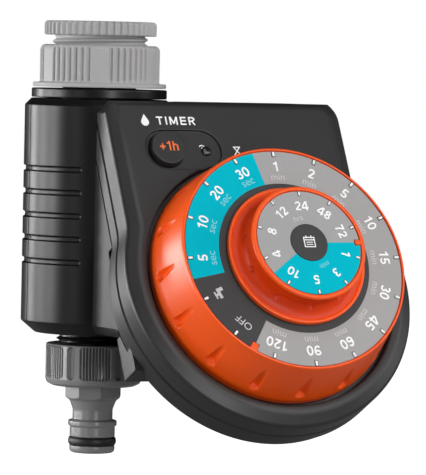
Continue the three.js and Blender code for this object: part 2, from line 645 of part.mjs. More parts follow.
function circuitBoard() {
  const left = CASE.left + 6;
  const outline = [
    [left, 2], [left + 6, -26], [-10, -34], [12, -34], [12, 28], [30, 36], [30, 48], [10, 51.5], [left, 51.5],
  ];
  const bosses = CASE_SCREWS.map(([u, v]) => move(disc(2.8 + GAP, -12, -8, 14), u, v, 0));
  return cut(prism(outline, BOARD.low, BOARD.high), disc(HUB.r + GAP, -12, -8, 28), flowClearance(WALL + GAP + 1.5), ...bosses);
}

// ---------- Dials ----------
function durationDial() {
  const slope = (BIG.skirtR - BIG.rimR) / (BIG.high - 1.2);
  const rimAt = (w) => BIG.skirtR - slope * Math.max(w, 0);
  const body = turned([
    [HUB.boreR, HUB.low],
    [HUB.r, HUB.low],
    [HUB.r, BIG.plate - 2.2],
    [rimAt(BIG.plate) - BIG.wall, BIG.plate - 2.2],
    [BIG.skirtR - BIG.wall, BIG.low],
    [BIG.skirtR, BIG.low],
    [BIG.skirtR, 0],
    [rimAt(BIG.high - 1.2), BIG.high - 1.2],
    [BIG.rimR - 1.1, BIG.high],
    [BIG_LABEL.outer + GAP, BIG.high],
    [BIG_LABEL.outer + GAP, BIG.plate],
    [HUB.boreR, BIG.plate],
  ], 36);
  const lean = THREE.MathUtils.radToDeg(Math.atan(slope)) + 2.5;
  const flute = disc(FLUTES.r, 1, 15.5, 7).rotate([0, -lean, 0]).translate([FLUTES.reach + FLUTES.r, 0, 0]);
  const flutes = Array.from({ length: FLUTES.count }, (_, i) => flute.rotate([0, 0, (360 / FLUTES.count) * i]));
  const grooved = cut(body, ...flutes);
  const tab = block([38, -1, BIG.plate - 0.5], [41, 1, BIG.high - 0.1]).rotate([0, 0, 90 - 213.75]);
  return join(grooved, tab);
}

function durationLabel() {
  const slot = block([37, -1 - GAP, 10], [42, 1 + GAP, 30]).rotate([0, 0, 90 - 213.75]);
  return cut(ring(BIG_LABEL.inner, BIG_LABEL.outer, BIG.labelTop - BIG_LABEL.thick, BIG.labelTop, 36), slot);
}

function frequencyDial() {
  const cove = arc(SMALL.rimR + 4.1, SMALL.flangeTop + 5.3, 5.3, 262, 190, 3);
  const outer = turned([
    [SHAFT.r + GAP, SMALL.low],
    [SMALL.flangeR, SMALL.low],
    [SMALL.flangeR, SMALL.flangeTop],
    ...cove,
    [SMALL.rimR, SMALL.high - 0.9],
    [SMALL.rimR - 0.9, SMALL.high],
    [SMALL_LABEL.outer + GAP, SMALL.high],
    [SMALL_LABEL.outer + GAP, SMALL.plate],
    [SHAFT.r + GAP, SMALL.plate],
  ], 28);
  const hollow = ring(SHAFT.r + GAP + 2, SMALL.rimR - 5, SMALL.low - 1, SMALL.plate - SMALL.wall, 20);
  const dimple = disc(DIMPLES.r, DIMPLES.low, DIMPLES.high, 6).translate([DIMPLES.reach + DIMPLES.r, 0, 0]);
  const pitch = 360 / DIMPLES.count;
  const dimples = Array.from({ length: DIMPLES.count }, (_, i) => dimple.rotate([0, 0, 90 + pitch * i]));
  const tab = block([17.4, -0.9, SMALL.plate - 0.5], [19.6, 0.9, SMALL.high - 0.1]);
  const lid = disc(SHAFT.r + 1, SHAFT.high + GAP, SMALL.plate, 24);
  return join(cut(outer, hollow, ...dimples), lid, tab);
}

function frequencyLabel() {
  const top = SMALL.plate + GAP + SMALL_LABEL.thick;
  const slot = block([17.1, -0.9 - GAP, 20], [20, 0.9 + GAP, 40]);
  return cut(ring(SMALL_LABEL.inner, SMALL_LABEL.outer, top - SMALL_LABEL.thick, top, 32), slot);
}

function frequencyShaft() {
  const groove = SHAFT.low + 1;
  return turned([
    [0, SHAFT.low],
    [SHAFT.r, SHAFT.low],
    [SHAFT.r, groove],
    [SHAFT.r - 0.9, groove],
    [SHAFT.r - 0.9, groove + 1],
    [SHAFT.r, groove + 1],
    [SHAFT.r, SHAFT.high],
    [0, SHAFT.high],
  ], 16);
}

// Contact wheel with one wiper finger to the board side.
function contactWheel(inner, outer, low, high) {
  const wheel = ring(inner, outer, low, high, 24);
  const windows = [0, 120, 240].map((angle) =>
    block([inner + 1.6, -1.2, low - 1], [outer - 1.2, 1.2, high + 1]).rotate([0, 0, angle]),
  );
  return cut(wheel, ...windows);
}

function manualButton() {
  return turned([
    [0, -6.4],
    [2, -6.4],
    [2, -5.6],
    [BUTTON.flange, -5.6],
    [BUTTON.flange, -4.7],
    [BUTTON.r, -4.7],
    [BUTTON.r, BUTTON.top - 0.5],
    [BUTTON.r - 0.5, BUTTON.top],
    [0, BUTTON.top],
  ], 24).translate([BUTTON.u, BUTTON.v, 0]);
}

function battery() {
  const half = BATTERY.width / 2;
  const high = BATTERY.low + BATTERY.length;
  const front = BATTERY.back + BATTERY.thick;
  const body = block([BATTERY.u - half, BATTERY.low, BATTERY.back], [BATTERY.u + half, high, front]);
  const stud = (u, r) => disc(r, -0.2, 2.2, 16).rotate([-90, 0, 0]).translate([u, high, BATTERY.back + BATTERY.thick / 2]);
  return join(body, stud(BATTERY.u - 6.35, 2.9), stud(BATTERY.u + 6.35, 3.9));
}

// ---------- Assembly ----------
const inRoot = (name, body, material) => add(timer, name, body, material);
const inUnit = (name, body, material) => add(unit, name, body, material);

const shell = housing();
inRoot("valve_housing_front", shell.intersect(block([-80, -120, 0], [120, -0.15, 200])), HOUSING);
inRoot("valve_housing_rear", shell.intersect(block([-80, 0.15, 0], [120, 80, 200])), HOUSING);
HOUSING_SCREWS.forEach((spot, i) => inRoot(`housing_screw_${i + 1}`, housingScrew(spot), STEEL));
inRoot("valve_body", valveBody(), BLACK);
inRoot("diaphragm", diaphragm(), RUBBER);
inRoot("valve_bonnet", bonnet(), BLACK);
screwSpots().forEach((spot, i) => inRoot(`bonnet_screw_${i + 1}`, bonnetScrew(spot), STEEL));
inRoot("solenoid_coil", solenoidCoil(), COPPER);
inRoot("solenoid_plunger", solenoidPlunger(), STEEL);
inRoot("plunger_spring", plungerSpring(), STEEL);
inRoot("valve_contact_plug", contactPlug(), BLACK);
inRoot("inlet_filter", inletFilter(), MID_GREY);
inRoot("inlet_washer", ring(8, 14.6, 133.6, 135.6, 24), RUBBER);
inRoot("inlet_nut", inletNut(), PALE_GREY);
inRoot("tap_adapter", tapAdapter(), PALE_GREY);
inRoot("adapter_washer", ring(8.6, 12, ADAPTER.seat + GAP, ADAPTER.seat + GAP + 1.8, 24), RUBBER);
inRoot("hose_connector", hoseConnector(), MID_GREY);
inRoot("hose_connector_washer", ring(6.5, 12.2, HOSE_NUT.low + 1.9, HOSE_NUT.low + 3.4, 24), RUBBER);
inRoot("hose_connector_o_ring", ring(O_RING.groove + 0.1, O_RING.r, O_RING.z - 1.35, O_RING.z + 1.35, 24), RUBBER);

inUnit("front_cover", frontCover(), HOUSING);
inUnit("rear_shell", rearShell(), BLACK);
inUnit("case_seal", caseSeal(), RUBBER);
CASE_SCREWS.forEach(([u, v], i) =>
  inUnit(`case_screw_${i + 1}`, screw(-SCREW_SEAT - 8.4, -SCREW_SEAT + GAP + 1.6).rotate([180, 0, 0]).translate([u, v, 0]), STEEL),
);
inUnit("circuit_board", circuitBoard(), BOARD_GREEN);
inUnit("microcontroller", block([-32, 14, -8.3], [-22, 24, -7]), BLACK);
inUnit("capacitor", move(disc(4, -17, -10.5, 14), -24, -20, 0), STEEL);
inUnit("led", move(disc(1.5, -8.3, -4.4, 10), LED_WINDOW.u, LED_WINDOW.v, 0), CLEAR);
inUnit("led_window", move(disc(LED_WINDOW.r, -3.9, -PILL.depth + 0.4, 12), LED_WINDOW.u, LED_WINDOW.v, 0), CLEAR);
inUnit("button_switch", move(block([-3, -2.2, -8.3], [3, 2.2, -7.5]), BUTTON.u, BUTTON.v, 0), BLACK);
inUnit("contact_socket", cut(
  block([-40, 27.5, -15.7], [-32, 32.5, -10.6]),
  ...[-38, -34].map((u) => move(disc(0.9 + GAP, -17, -12.4, 12), u, 30, 0)),
), BLACK);
inUnit("battery_9v", battery(), BATTERY_SLEEVE);
inUnit("battery_contacts", block([17, 25.4, -21.4], [40.5, 26.4, -10]), COPPER);
inUnit("duration_shaft_seal", ring(HUB.r + GAP, DIAL_RECESS.holeR - GAP, -5.4, -3.6, 20), RUBBER);
inUnit("duration_dial", durationDial(), ORANGE);
inUnit("duration_label", durationLabel(), LABEL_GREY);
inUnit("duration_contact_wheel", contactWheel(HUB.r + GAP, WHEEL.bigR, WHEEL.bigLow, WHEEL.bigHigh), BLACK);
inUnit("frequency_shaft_seal", ring(SHAFT.r + GAP, HUB.boreR - GAP, 13, 14.6, 16), RUBBER);
inUnit("frequency_dial", frequencyDial(), ORANGE);
inUnit("frequency_label", frequencyLabel(), LABEL_GREY);
inUnit("dial_cap", disc(CAP.r, SMALL.plate + GAP, CAP.high, 24), BLACK);
inUnit("frequency_shaft", frequencyShaft(), STEEL);
inUnit("frequency_contact_wheel", contactWheel(SHAFT.r + GAP, WHEEL.smallR, WHEEL.smallLow, WHEEL.smallHigh), BLACK);
inUnit("shaft_clip", ring(SHAFT.r - 0.6, SHAFT.r + 2, SHAFT.low + 1.2, SHAFT.low + 1.8, 16), STEEL);
inUnit("manual_button", manualButton(), HOUSING);
inUnit("battery_door", block([DOOR.left, DOOR.low, SHELL.boxBack], [DOOR.right, DOOR.high, SHELL.boxBack + DOOR.thick]), BLACK);

// Stand the assembly on z = 0 with its bounding box centred on the origin.
const box = new THREE.Box3().setFromObject(timer, true);
timer.position.set(-(box.min.x + box.max.x) / 2, -(box.min.y + box.max.y) / 2, -box.min.z);

const assembly = new THREE.Group();
assembly.add(timer);
export default assembly;
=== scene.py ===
import json
import math
import bmesh
import bpy
import numpy as np
from mathutils import Matrix, Vector


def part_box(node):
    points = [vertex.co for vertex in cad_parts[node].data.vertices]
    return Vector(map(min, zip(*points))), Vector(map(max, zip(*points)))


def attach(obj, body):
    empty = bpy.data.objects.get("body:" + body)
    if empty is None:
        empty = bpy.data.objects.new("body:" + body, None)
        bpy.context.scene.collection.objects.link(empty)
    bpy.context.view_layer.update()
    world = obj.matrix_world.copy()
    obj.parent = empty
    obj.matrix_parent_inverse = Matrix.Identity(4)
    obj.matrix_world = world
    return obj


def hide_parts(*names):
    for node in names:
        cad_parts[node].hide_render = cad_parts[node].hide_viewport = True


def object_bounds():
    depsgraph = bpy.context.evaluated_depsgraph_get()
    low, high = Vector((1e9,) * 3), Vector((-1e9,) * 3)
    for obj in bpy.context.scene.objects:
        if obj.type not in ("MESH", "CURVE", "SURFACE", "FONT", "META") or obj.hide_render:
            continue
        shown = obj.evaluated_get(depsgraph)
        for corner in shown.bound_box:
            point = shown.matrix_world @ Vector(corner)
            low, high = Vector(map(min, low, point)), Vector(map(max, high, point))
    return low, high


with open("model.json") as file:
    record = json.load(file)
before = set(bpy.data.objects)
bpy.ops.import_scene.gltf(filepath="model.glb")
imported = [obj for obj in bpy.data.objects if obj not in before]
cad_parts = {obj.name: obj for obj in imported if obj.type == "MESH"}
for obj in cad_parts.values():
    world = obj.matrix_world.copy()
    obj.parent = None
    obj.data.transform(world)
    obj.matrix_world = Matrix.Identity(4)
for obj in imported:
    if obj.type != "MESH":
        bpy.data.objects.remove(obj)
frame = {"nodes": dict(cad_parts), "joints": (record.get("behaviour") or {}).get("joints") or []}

CAD_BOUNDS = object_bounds()
JOINTS = {joint["name"]: joint for joint in frame["joints"]}

# Sizes are in millimetres in one of two local frames.
# Flow frame: the third axis is the water's axis, and its origin is the nipple's lower end.
# Unit frame: u to the right, v up the slope, w out of the control face, from the dial's axis on that face.
MM = 0.001


def flow_place():
    low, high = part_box("inlet_nut")
    return Matrix.Translation(((low.x + high.x) / 2, (low.y + high.y) / 2, 0)) @ Matrix.Scale(MM, 4)


def unit_place():
    dial = JOINTS["duration_dial_turn"]
    out = Vector(dial["axis"]).normalized()
    right = Vector((1, 0, 0))
    up = out.cross(right)
    turn = Matrix((right, up, out)).transposed().to_4x4()
    return Matrix.Translation(dial["pos_m"]) @ turn @ Matrix.Scale(MM, 4)


FLOW = flow_place()
UNIT = unit_place()
FLOW_TO_UNIT = UNIT.inverted() @ FLOW
UNIT_TO_FLOW = FLOW.inverted() @ UNIT
TILT = math.acos(UNIT.col[1].xyz.normalized().z)  # lean of the control face from the vertical


# ---------- Outlines ----------
def arc(x, y, radius, start, end, steps):
    """Points on an arc, angles in degrees, both ends included."""
    angle = np.radians(np.linspace(start, end, steps + 1))
    return [(x + radius * math.cos(a), y + radius * math.sin(a)) for a in angle]


def signed_area(outline):
    points = np.array(outline)
    following = np.roll(points, -1, axis=0)
    return 0.5 * float((points[:, 0] * following[:, 1] - following[:, 0] * points[:, 1]).sum())


def bow(x, y, across, up, start, end, steps=16):
    """Arc of an ellipse, angles in degrees."""
    return [(x + across * cx, y + up * cy) for cx, cy in arc(0, 0, 1, start, end, steps)]


def rounded(corners, closed=True, steps=4):
    """Outline through (x, y) or (x, y, radius) corners, each corner with a radius turned into an arc."""
    made = []
    count = len(corners)
    for i, corner in enumerate(corners):
        radius = corner[2] if len(corner) > 2 else 0
        here = Vector(corner[:2])
        at_end = not closed and i in (0, count - 1)
        if radius == 0 or at_end:
            made.append(tuple(here))
            continue
        before = Vector(corners[i - 1][:2]) - here
        after = Vector(corners[(i + 1) % count][:2]) - here
        bend = before.angle(after)
        reach = min(radius / math.tan(bend / 2), 0.49 * before.length, 0.49 * after.length)
        turn = reach * math.tan(bend / 2)
        middle = (before.normalized() + after.normalized()).normalized()
        centre = here + middle * (turn / math.sin(bend / 2))
        first = here + before.normalized() * reach - centre
        last = here + after.normalized() * reach - centre
        sweep = first.angle_signed(last)
        for k in range(steps + 1):
            spin = Matrix.Rotation(-sweep * k / steps, 2)
            made.append(tuple(centre + spin @ first))
    return made


def divided(path, longest):
    """The same closed path with no side longer than `longest`."""
    made = []
    for i, point in enumerate(path):
        following = path[(i + 1) % len(path)]
        length = math.dist(point, following)
        parts = max(1, math.ceil(length / longest))
        for k in range(parts):
            share = k / parts
            made.append(tuple(a + (b - a) * share for a, b in zip(point, following)))
    return made


def inset(outline, distance):
    """An anticlockwise outline moved inwards by a distance."""
    points = np.array(outline, float)
    before = points - np.roll(points, 1, axis=0)
    after = np.roll(points, -1, axis=0) - points
    before /= np.linalg.norm(before, axis=1)[:, None]
    after /= np.linalg.norm(after, axis=1)[:, None]
    left = np.stack([-before[:, 1], before[:, 0]], 1)
    right = np.stack([-after[:, 1], after[:, 0]], 1)
    middle = left + right
    middle /= np.linalg.norm(middle, axis=1)[:, None]
    stretch = 1 / np.clip((middle * left).sum(1), 0.35, 1)
    return points + middle * distance * stretch[:, None]


def rectangle(left, right, low, high, radius=0):
    corners = [(left, low, radius), (right, low, radius), (right, high, radius), (left, high, radius)]
    return rounded(corners, steps=6)


# ---------- Solids ----------
def grid_faces(rows, columns, wrap_rows):
    """Quads over points stored row by row; columns always wrap round."""
    row = np.arange(rows if wrap_rows else rows - 1)
    i, j = np.meshgrid(row, np.arange(columns), indexing="ij")
    following_row = (i + 1) % rows
    following_column = (j + 1) % columns
    corners = [
        i * columns + j,
        i * columns + following_column,
        following_row * columns + following_column,
        following_row * columns + j,
    ]
    return np.stack(corners, -1).reshape(-1, 4).tolist()


def closed_mesh(points, faces):
    mesh = bpy.data.meshes.new("shape")
    mesh.from_pydata(np.asarray(points, float).tolist(), [], faces)
    return cleaned(mesh)


def cleaned(mesh):
    work = bmesh.new()
    work.from_mesh(mesh)
    bmesh.ops.remove_doubles(work, verts=work.verts, dist=1e-4)
    bmesh.ops.recalc_face_normals(work, faces=work.faces)
    work.to_mesh(mesh)
    work.free()
    return mesh


def turned(profile, steps, reshape=None):
    """Solid turned about the third axis from a closed (radius, height) profile.

    `steps` is a count of even steps or a list of angles.
    reshape(angle, radius, height) gives each point's radius."""
    even = isinstance(steps, int)
    angle = np.linspace(0, 2 * math.pi, steps, endpoint=False) if even else np.array(steps, float)
    path = np.array(profile, float)
    angle, radius = np.meshgrid(angle, path[:, 0], indexing="ij")
    height = np.broadcast_to(path[:, 1], radius.shape)
    if reshape is not None:
        radius = reshape(angle, radius, height)
    points = np.stack([radius * np.cos(angle), radius * np.sin(angle), height], -1)
    return closed_mesh(points.reshape(-1, 3), grid_faces(len(angle), len(path), True))


def lofted(outline, path):
    """Solid from an anticlockwise outline carried along a path of (inset, height) steps, lowest first."""
    loops = []
    for distance, height in path:
        loop = inset(outline, distance)
        loops.append(np.column_stack([loop, np.full(len(loop), height)]))
    count = len(outline)
    faces = grid_faces(len(path), count, False)
    faces.append(list(range(count)))
    faces.append(list(range((len(path) - 1) * count, len(path) * count)))
    return closed_mesh(np.concatenate(loops), faces)


def prism(outline, low, high):
    return lofted(outline, [(0, low), (0, high)])


def soft_slab(outline, low, high, low_edge=0.3, high_edge=0.3, steps=3):
    """Prism between two heights with both rims rounded."""
    turns = [math.radians(90 * k / steps) for k in range(steps + 1)]
    path = [(low_edge * (1 - math.sin(a)), low + low_edge * (1 - math.cos(a))) for a in turns]
    path += [(high_edge * (1 - math.cos(a)), high - high_edge * (1 - math.sin(a))) for a in turns]
    return lofted(outline, path)


def disc(radius, low, high, steps=48):
    return turned([(0, low), (radius, low), (radius, high), (0, high)], steps)


def ring(inner, outer, low, high, edge=0.2, steps=96):
    corners = [(inner, low, edge), (outer, low, edge), (outer, high, edge), (inner, high, edge)]
    return turned(rounded(corners), steps)


def block(low, high):
    (x0, y0, z0), (x1, y1, z1) = low, high
    return prism([(x0, y0), (x1, y0), (x1, y1), (x0, y1)], z0, z1)


def placed(mesh, matrix):
    mesh.transform(matrix)
    return mesh


def moved(mesh, x=0, y=0, z=0):
    return placed(mesh, Matrix.Translation((x, y, z)))


def spun(mesh, degrees, axis="Z"):
    return placed(mesh, Matrix.Rotation(math.radians(degrees), 4, axis))


def along_x(mesh):
    """A prism drawn in (first, second) turned so that it is drawn in (y, z) and runs along x."""
    return placed(mesh, Matrix(((0, 0, 1, 0), (1, 0, 0, 0), (0, 1, 0, 0), (0, 0, 0, 1))))


def forward(mesh, x=0, z=0):
    """A solid on the third axis turned to point to the front, towards -y, at a place on the y = 0 plane."""
    return moved(spun(mesh, 90, "X"), x, 0, z)


def combined(operation, base, tools):
    """Boolean of closed meshes with the tools one after another."""
    things = []
    for mesh in [base, *tools]:
        thing = bpy.data.objects.new("shape", mesh)
        bpy.context.scene.collection.objects.link(thing)
        things.append(thing)
    for tool in things[1:]:
        step = things[0].modifiers.new("step", "BOOLEAN")
        step.operation = operation
        step.solver = "MANIFOLD"
        step.object = tool
    bpy.context.view_layer.update()
    graph = bpy.context.evaluated_depsgraph_get()
    made = bpy.data.meshes.new_from_object(things[0].evaluated_get(graph))
    for thing in things:
        bpy.data.objects.remove(thing)
    return made


def cut(base, *tools):
    return combined("DIFFERENCE", base, tools)


def join(base, *tools):
    return combined("UNION", base, tools)


def common(base, *tools):
    return combined("INTERSECT", base, tools)


def merged(meshes):
    """Several separate closed meshes as one mesh."""
    work = bmesh.new()
    for mesh in meshes:
        work.from_mesh(mesh)
    made = bpy.data.meshes.new("shape")
    work.to_mesh(made)
    work.free()
    return made


def smooth_step(value, low, high):
    share = np.clip((value - low) / (high - low), 0, 1)
    return share * share * (3 - 2 * share)


# ---------- Finishes ----------
def linear(colour):
    """Linear colour from sRGB values of 0 to 255."""
    share = np.array(colour, float) / 255
    return tuple(np.where(share <= 0.04045, share / 12.92, ((share + 0.055) / 1.055) ** 2.4)) + (1.0,)


GRAIN_SCALE = 1400  # fine grain, in waves per metre
COAT_ROUGHNESS = 0.12
RELIEF_DEPTH = 0.00006


def added(tree, kind, **values):
    """New shader node with some inputs set; an underscore in an input's name stands for a space."""
    node = tree.nodes.new("ShaderNode" + kind)
    for name, value in values.items():
        node.inputs[name.replace("_", " ")].default_value = value
    return node


def wired(tree, *wires):
    """Links given as (node, output, node, input)."""
    for source, output, target, entry in wires:
        tree.links.new(source.outputs[output], target.inputs[entry])


def finish(name, colour, roughness, grain=0.06, relief=0.12, metallic=0.0, specular=0.5, coat=0.0):
    """Moulded or machined surface: fine noise varies its colour, its gloss and its relief."""
    material = bpy.data.materials.new(name)
    material.use_nodes = True
    tree = material.node_tree
    shader = tree.nodes["Principled BSDF"]
    shader.inputs["Metallic"].default_value = metallic
    shader.inputs["Specular IOR Level"].default_value = specular
    shader.inputs["Coat Weight"].default_value = coat
    shader.inputs["Coat Roughness"].default_value = COAT_ROUGHNESS
    place = added(tree, "TexCoord")
    fine = added(tree, "TexNoise", Scale=GRAIN_SCALE, Detail=5)
    cloudy = added(tree, "TexNoise", Scale=GRAIN_SCALE / 28, Detail=3)
    tone = added(tree, "Mix")
    tone.data_type = "RGBA"
    base = np.array(linear(colour))[:3]
    tone.inputs["A"].default_value = tuple(np.append(base * (1 - grain), 1))
    tone.inputs["B"].default_value = tuple(np.append(np.minimum(base * (1 + grain), 1), 1))
    gloss = added(tree, "MapRange", To_Min=roughness * 0.88, To_Max=min(1.0, roughness * 1.12))
    bump = added(tree, "Bump", Strength=relief, Distance=RELIEF_DEPTH)
    wired(
        tree,
        (place, "Object", fine, "Vector"),
        (place, "Object", cloudy, "Vector"),
        (fine, "Fac", tone, "Factor"),
        (tone, "Result", shader, "Base Color"),
        (cloudy, "Fac", gloss, "Value"),
        (gloss, "Result", shader, "Roughness"),
        (fine, "Fac", bump, "Height"),
        (bump, "Normal", shader, "Normal"),
    )
    return material


def brushed(name, colour, roughness):
    """Metal with fine drawn lines."""
    material = finish(name, colour, roughness, grain=0.1, relief=0.2, metallic=1.0)
    tree = material.node_tree
    stretch = added(tree, "Mapping", Scale=(6, 6, 0.3))
    fine = next(node for node in tree.nodes if node.type == "TEX_NOISE")
    place = next(node for node in tree.nodes if node.type == "TEX_COORD")
    wired(tree, (place, "Object", stretch, "Vector"), (stretch, "Vector", fine, "Vector"))
    return material


def print_finish(name, colour):
    return finish(name, colour, 0.6, grain=0.02, relief=0.02)


HOUSING = finish("housing", (20, 20, 21), 0.34, relief=0.16, specular=0.28)
COVER = finish("control_cover", (42, 42, 43), 0.4, relief=0.16, specular=0.42)
BLACK = finish("black_plastic", (16, 16, 17), 0.34, specular=0.32)
ORANGE = finish("orange", (254, 88, 8), 0.34, grain=0.03, relief=0.06)
# darker copy of the orange: painted shade for the small dial's cove
ORANGE_PAINTED_SHADE = finish("orange_painted_shade", (222, 62, 4), 0.42, grain=0.03, relief=0.06, specular=0.3)
PALE_GREY = finish("pale_grey", (173, 173, 173), 0.55, grain=0.04, relief=0.08, specular=0.2)
MID_GREY = finish("mid_grey", (130, 130, 130), 0.27, grain=0.05, relief=0.08)
LABEL_GREY = finish("label_grey", (166, 165, 165), 0.6, grain=0.03, relief=0.04, specular=0.3)
LABEL_CYAN = finish("label_cyan", (0, 186, 205), 0.7, grain=0.03, relief=0.04, specular=0.05)
LABEL_DARK = finish("label_dark", (62, 62, 63), 0.6, grain=0.05, relief=0.04, specular=0.3)
PRINT_WHITE = print_finish("print_white", (255, 255, 255))
PRINT_GREY = print_finish("print_grey", (204, 204, 204))
PRINT_CYAN = print_finish("print_cyan", (128, 214, 226))
PRINT_ORANGE = print_finish("print_orange", (238, 116, 50))
# real rubber parts; also the dark colour of the painted shadow round the dial ticks
RUBBER_AND_PAINTED_SHADOW = finish("rubber", (15, 15, 15), 0.5, grain=0.12, relief=0.2)
WINDOW = finish("smoked_window", (30, 30, 32), 0.25, relief=0.02, coat=0.3)
LED_LENS = finish("led_lens", (225, 225, 215), 0.15, relief=0.02, coat=0.5)
STEEL = brushed("steel", (200, 200, 202), 0.3)
COPPER = brushed("copper", (190, 104, 50), 0.35)
BOARD = finish("board", (26, 102, 54), 0.45, grain=0.14, relief=0.1)
BATTERY_SLEEVE = finish("battery_sleeve", (52, 84, 130), 0.35, grain=0.05)


# ---------- Pieces ----------
def piece(name, mesh, place, material, body, stands_for=(), slot=None, crease=32):
    """Puts a finished mesh into the row frame, on its CAD body."""
    mesh.transform(place)
    mesh.name = name
    if not mesh.materials or mesh.materials[0] is None:
        mesh.materials.clear()
        mesh.materials.append(material)
    mesh.shade_smooth()
    mesh.set_sharp_from_angle(angle=math.radians(crease))
    made = bpy.data.objects.new(name, mesh)
    bpy.context.scene.collection.objects.link(made)
    even = made.modifiers.new("even_normals", "WEIGHTED_NORMAL")
    even.keep_sharp = True
    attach(made, body)
    if stands_for:
        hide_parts(*stands_for)
    return made


def spiral(angle, height, pitch, low, high, root, crest):
    """Radius of a screw thread that fades in and out over its first and last turns."""
    phase = (height / pitch - angle / (2 * math.pi)) % 1
    wave = smooth_step(1 - np.abs(2 * phase - 1), 0.08, 0.92)
    fade = np.clip(np.minimum((height - low) / pitch, (high - height) / pitch) * 2, 0, 1)
    return root + (crest - root) * wave * fade


# Grip tube and cradle.
GAP = 0.3
WALL = 2.2
GRIP = {
    "r": 25.75,
    "end_r": 21.0,
    "low": 42.0,
    "body_low": 46.0,
    "body_high": 121.0,
    "high": 123.3,
    "top_r": 23.5,
}
GROOVES = {"first": 67.2, "pitch": 7.97, "count": 5, "half": 1.15, "depth": 0.75}
GROOVE_SPANS = [(125.5, 234.5), (5.0, 54.5)]  # degrees round the tube, from +x
SEAM_HALF = 0.15
CRADLE = {
    "left": -11.0,
    "right": 24.0,
    "bottom": 43.0,
    "corner_z": 46.0,
    "upper_w": -16.3,
    "lower_w": -19.7,
    "step_v": 19.7,
}
HOUSING_SCREWS = [(-19.0, 55.0), (19.0, 55.0), (-19.0, 112.0), (19.0, 112.0)]


def flow_point(v, w):
    """(y, z) in the flow frame of a point at v, w in the unit frame."""
    point = UNIT_TO_FLOW @ Vector((0, v, w))
    return point.y, point.z


def grip_shape(angle, radius, height):
    """Radius of the grip tube with its finger grooves and the narrow V at the seam of its halves."""
    depth = np.zeros_like(radius)
    for start, end in GROOVE_SPANS:
        half = GROOVES["half"]
        first = math.radians(start) + half / GRIP["r"]
        last = math.radians(end) - half / GRIP["r"]
        beyond = np.maximum(np.maximum(first - angle, angle - last), 0) * GRIP["r"]
        for i in range(GROOVES["count"]):
            level = height - (GROOVES["first"] + i * GROOVES["pitch"])
            reach = np.hypot(beyond, level)
            depth = np.maximum(depth, GROOVES["depth"] * smooth_step(half - reach, 0, half * 0.55))
    seam = np.abs((angle + math.pi / 2) % math.pi - math.pi / 2) * GRIP["r"]
    depth = depth + 0.32 * np.clip(1 - seam / 0.5, 0, 1) ** 1.5
    return np.where(radius > GRIP["top_r"], radius - depth, radius)


def grip_angles():
    even = np.radians(np.arange(0, 360, 0.8))
    fine = np.radians([0.35, 0.6, 1.2])
    near = [half + side * step for half in (0, math.pi) for side in (-1, 1) for step in fine]
    seams = [0, math.pi]
    return np.unique(np.round(np.mod(np.concatenate([even, near, seams]), 2 * math.pi), 7))


def grip_solid():
    wall = []
    level = GRIP["body_low"] + 3
    for i in range(GROOVES["count"]):
        centre = GROOVES["first"] + i * GROOVES["pitch"]
        while level < centre - GROOVES["half"] - 2:
            wall.append((GRIP["r"], level))
            level += 3
        wall += [(GRIP["r"], centre + offset) for offset in np.linspace(-1.2, 1.2, 19) * GROOVES["half"]]
        level = centre + GROOVES["half"] + 2
    wall += [(GRIP["r"], z) for z in np.arange(level, GRIP["body_high"] - 1, 3)]
    foot = [(0, GRIP["low"]), (GRIP["end_r"], GRIP["low"], 0.6), (GRIP["r"], GRIP["body_low"], 1.0)]
    head = [(GRIP["r"], GRIP["body_high"], 0.8), (GRIP["top_r"], GRIP["high"], 0.5), (0, GRIP["high"])]
    lower = rounded([*foot, wall[0]], False)
    upper = rounded([wall[-1], *head], False)
    return turned(lower + wall[1:-1] + upper, grip_angles(), grip_shape)


def grip_hollow():
    r = GRIP["r"] - WALL
    profile = [
        (0, GRIP["low"] + WALL),
        (GRIP["end_r"] - 1.5, GRIP["low"] + WALL),
        (r, GRIP["body_low"] + 1.5),
        (r, GRIP["body_high"] - 2),
        (r - 2, GRIP["high"] - WALL),
        (0, GRIP["high"] - WALL),
    ]
    return turned(profile, 96)


def cradle_solid(wall):
    """The cradle's side view in (y, z), run along x; `wall` insets it for its hollow."""
    upper = CRADLE["upper_w"] - wall
    lower = CRADLE["lower_w"] - wall
    step = CRADLE["step_v"] - wall
    back = -10 if wall else -14
    bottom = CRADLE["bottom"] + wall
    corner_y = flow_point(-9.3, lower)[0]
    edge = 0.5 if not wall else 0
    corners = [
        (back, bottom),
        (back, flow_point(56, upper)[1]),
        (*flow_point(56, upper), edge),
        (*flow_point(step, upper), edge),
        (*flow_point(step, lower), edge),
        (corner_y + wall * 0.4, CRADLE["corner_z"] + wall * 0.6, edge),
        (corner_y + 6.5, bottom, edge),
    ]
    corners.reverse()
    outline = rounded(corners)
    if signed_area(outline) < 0:
        outline.reverse()
    if wall:
        return along_x(prism(outline, CRADLE["left"] + wall, CRADLE["right"] - wall))
    return along_x(soft_slab(outline, CRADLE["left"], CRADLE["right"], 0.4, 0.4))


def cheek_chamfer():
    """Wedge that bevels the cradle's lower left edge, as the tube's foot is bevelled."""
    outline = [(-16, CRADLE["corner_z"] + 6.25), (-16, 36), (-2.8, 36)]
    return spun(prism(outline, 14, 60), 90, "X")


def screw_well(x, z, radius, back, front):
    return forward(disc(radius, back, front, 32), x, z)


def valve_housing():
    bosses = common(grip_solid(), join(*[screw_well(x, z, 3.2, -14, 9) for x, z in HOUSING_SCREWS]))
    outside = join(grip_solid(), cut(cradle_solid(0), cheek_chamfer()))
    shell = join(cut(outside, grip_hollow(), cradle_solid(WALL)), bosses)
    tools = [
        disc(14.5, GRIP["high"] - 4, GRIP["high"] + 1, 64),
        disc(13.7, GRIP["low"] - 1, GRIP["low"] + 4, 64),
        placed(block((-41.3, 26.2, -20), (-30.7, 33.8, -15)), UNIT_TO_FLOW),
    ]
    for x, z in HOUSING_SCREWS:
        tools.append(screw_well(x, z, 1.5, -15, 10))
        tools.append(screw_well(x, z, 2.7, -26, -12.2))
    return cut(shell, *tools)


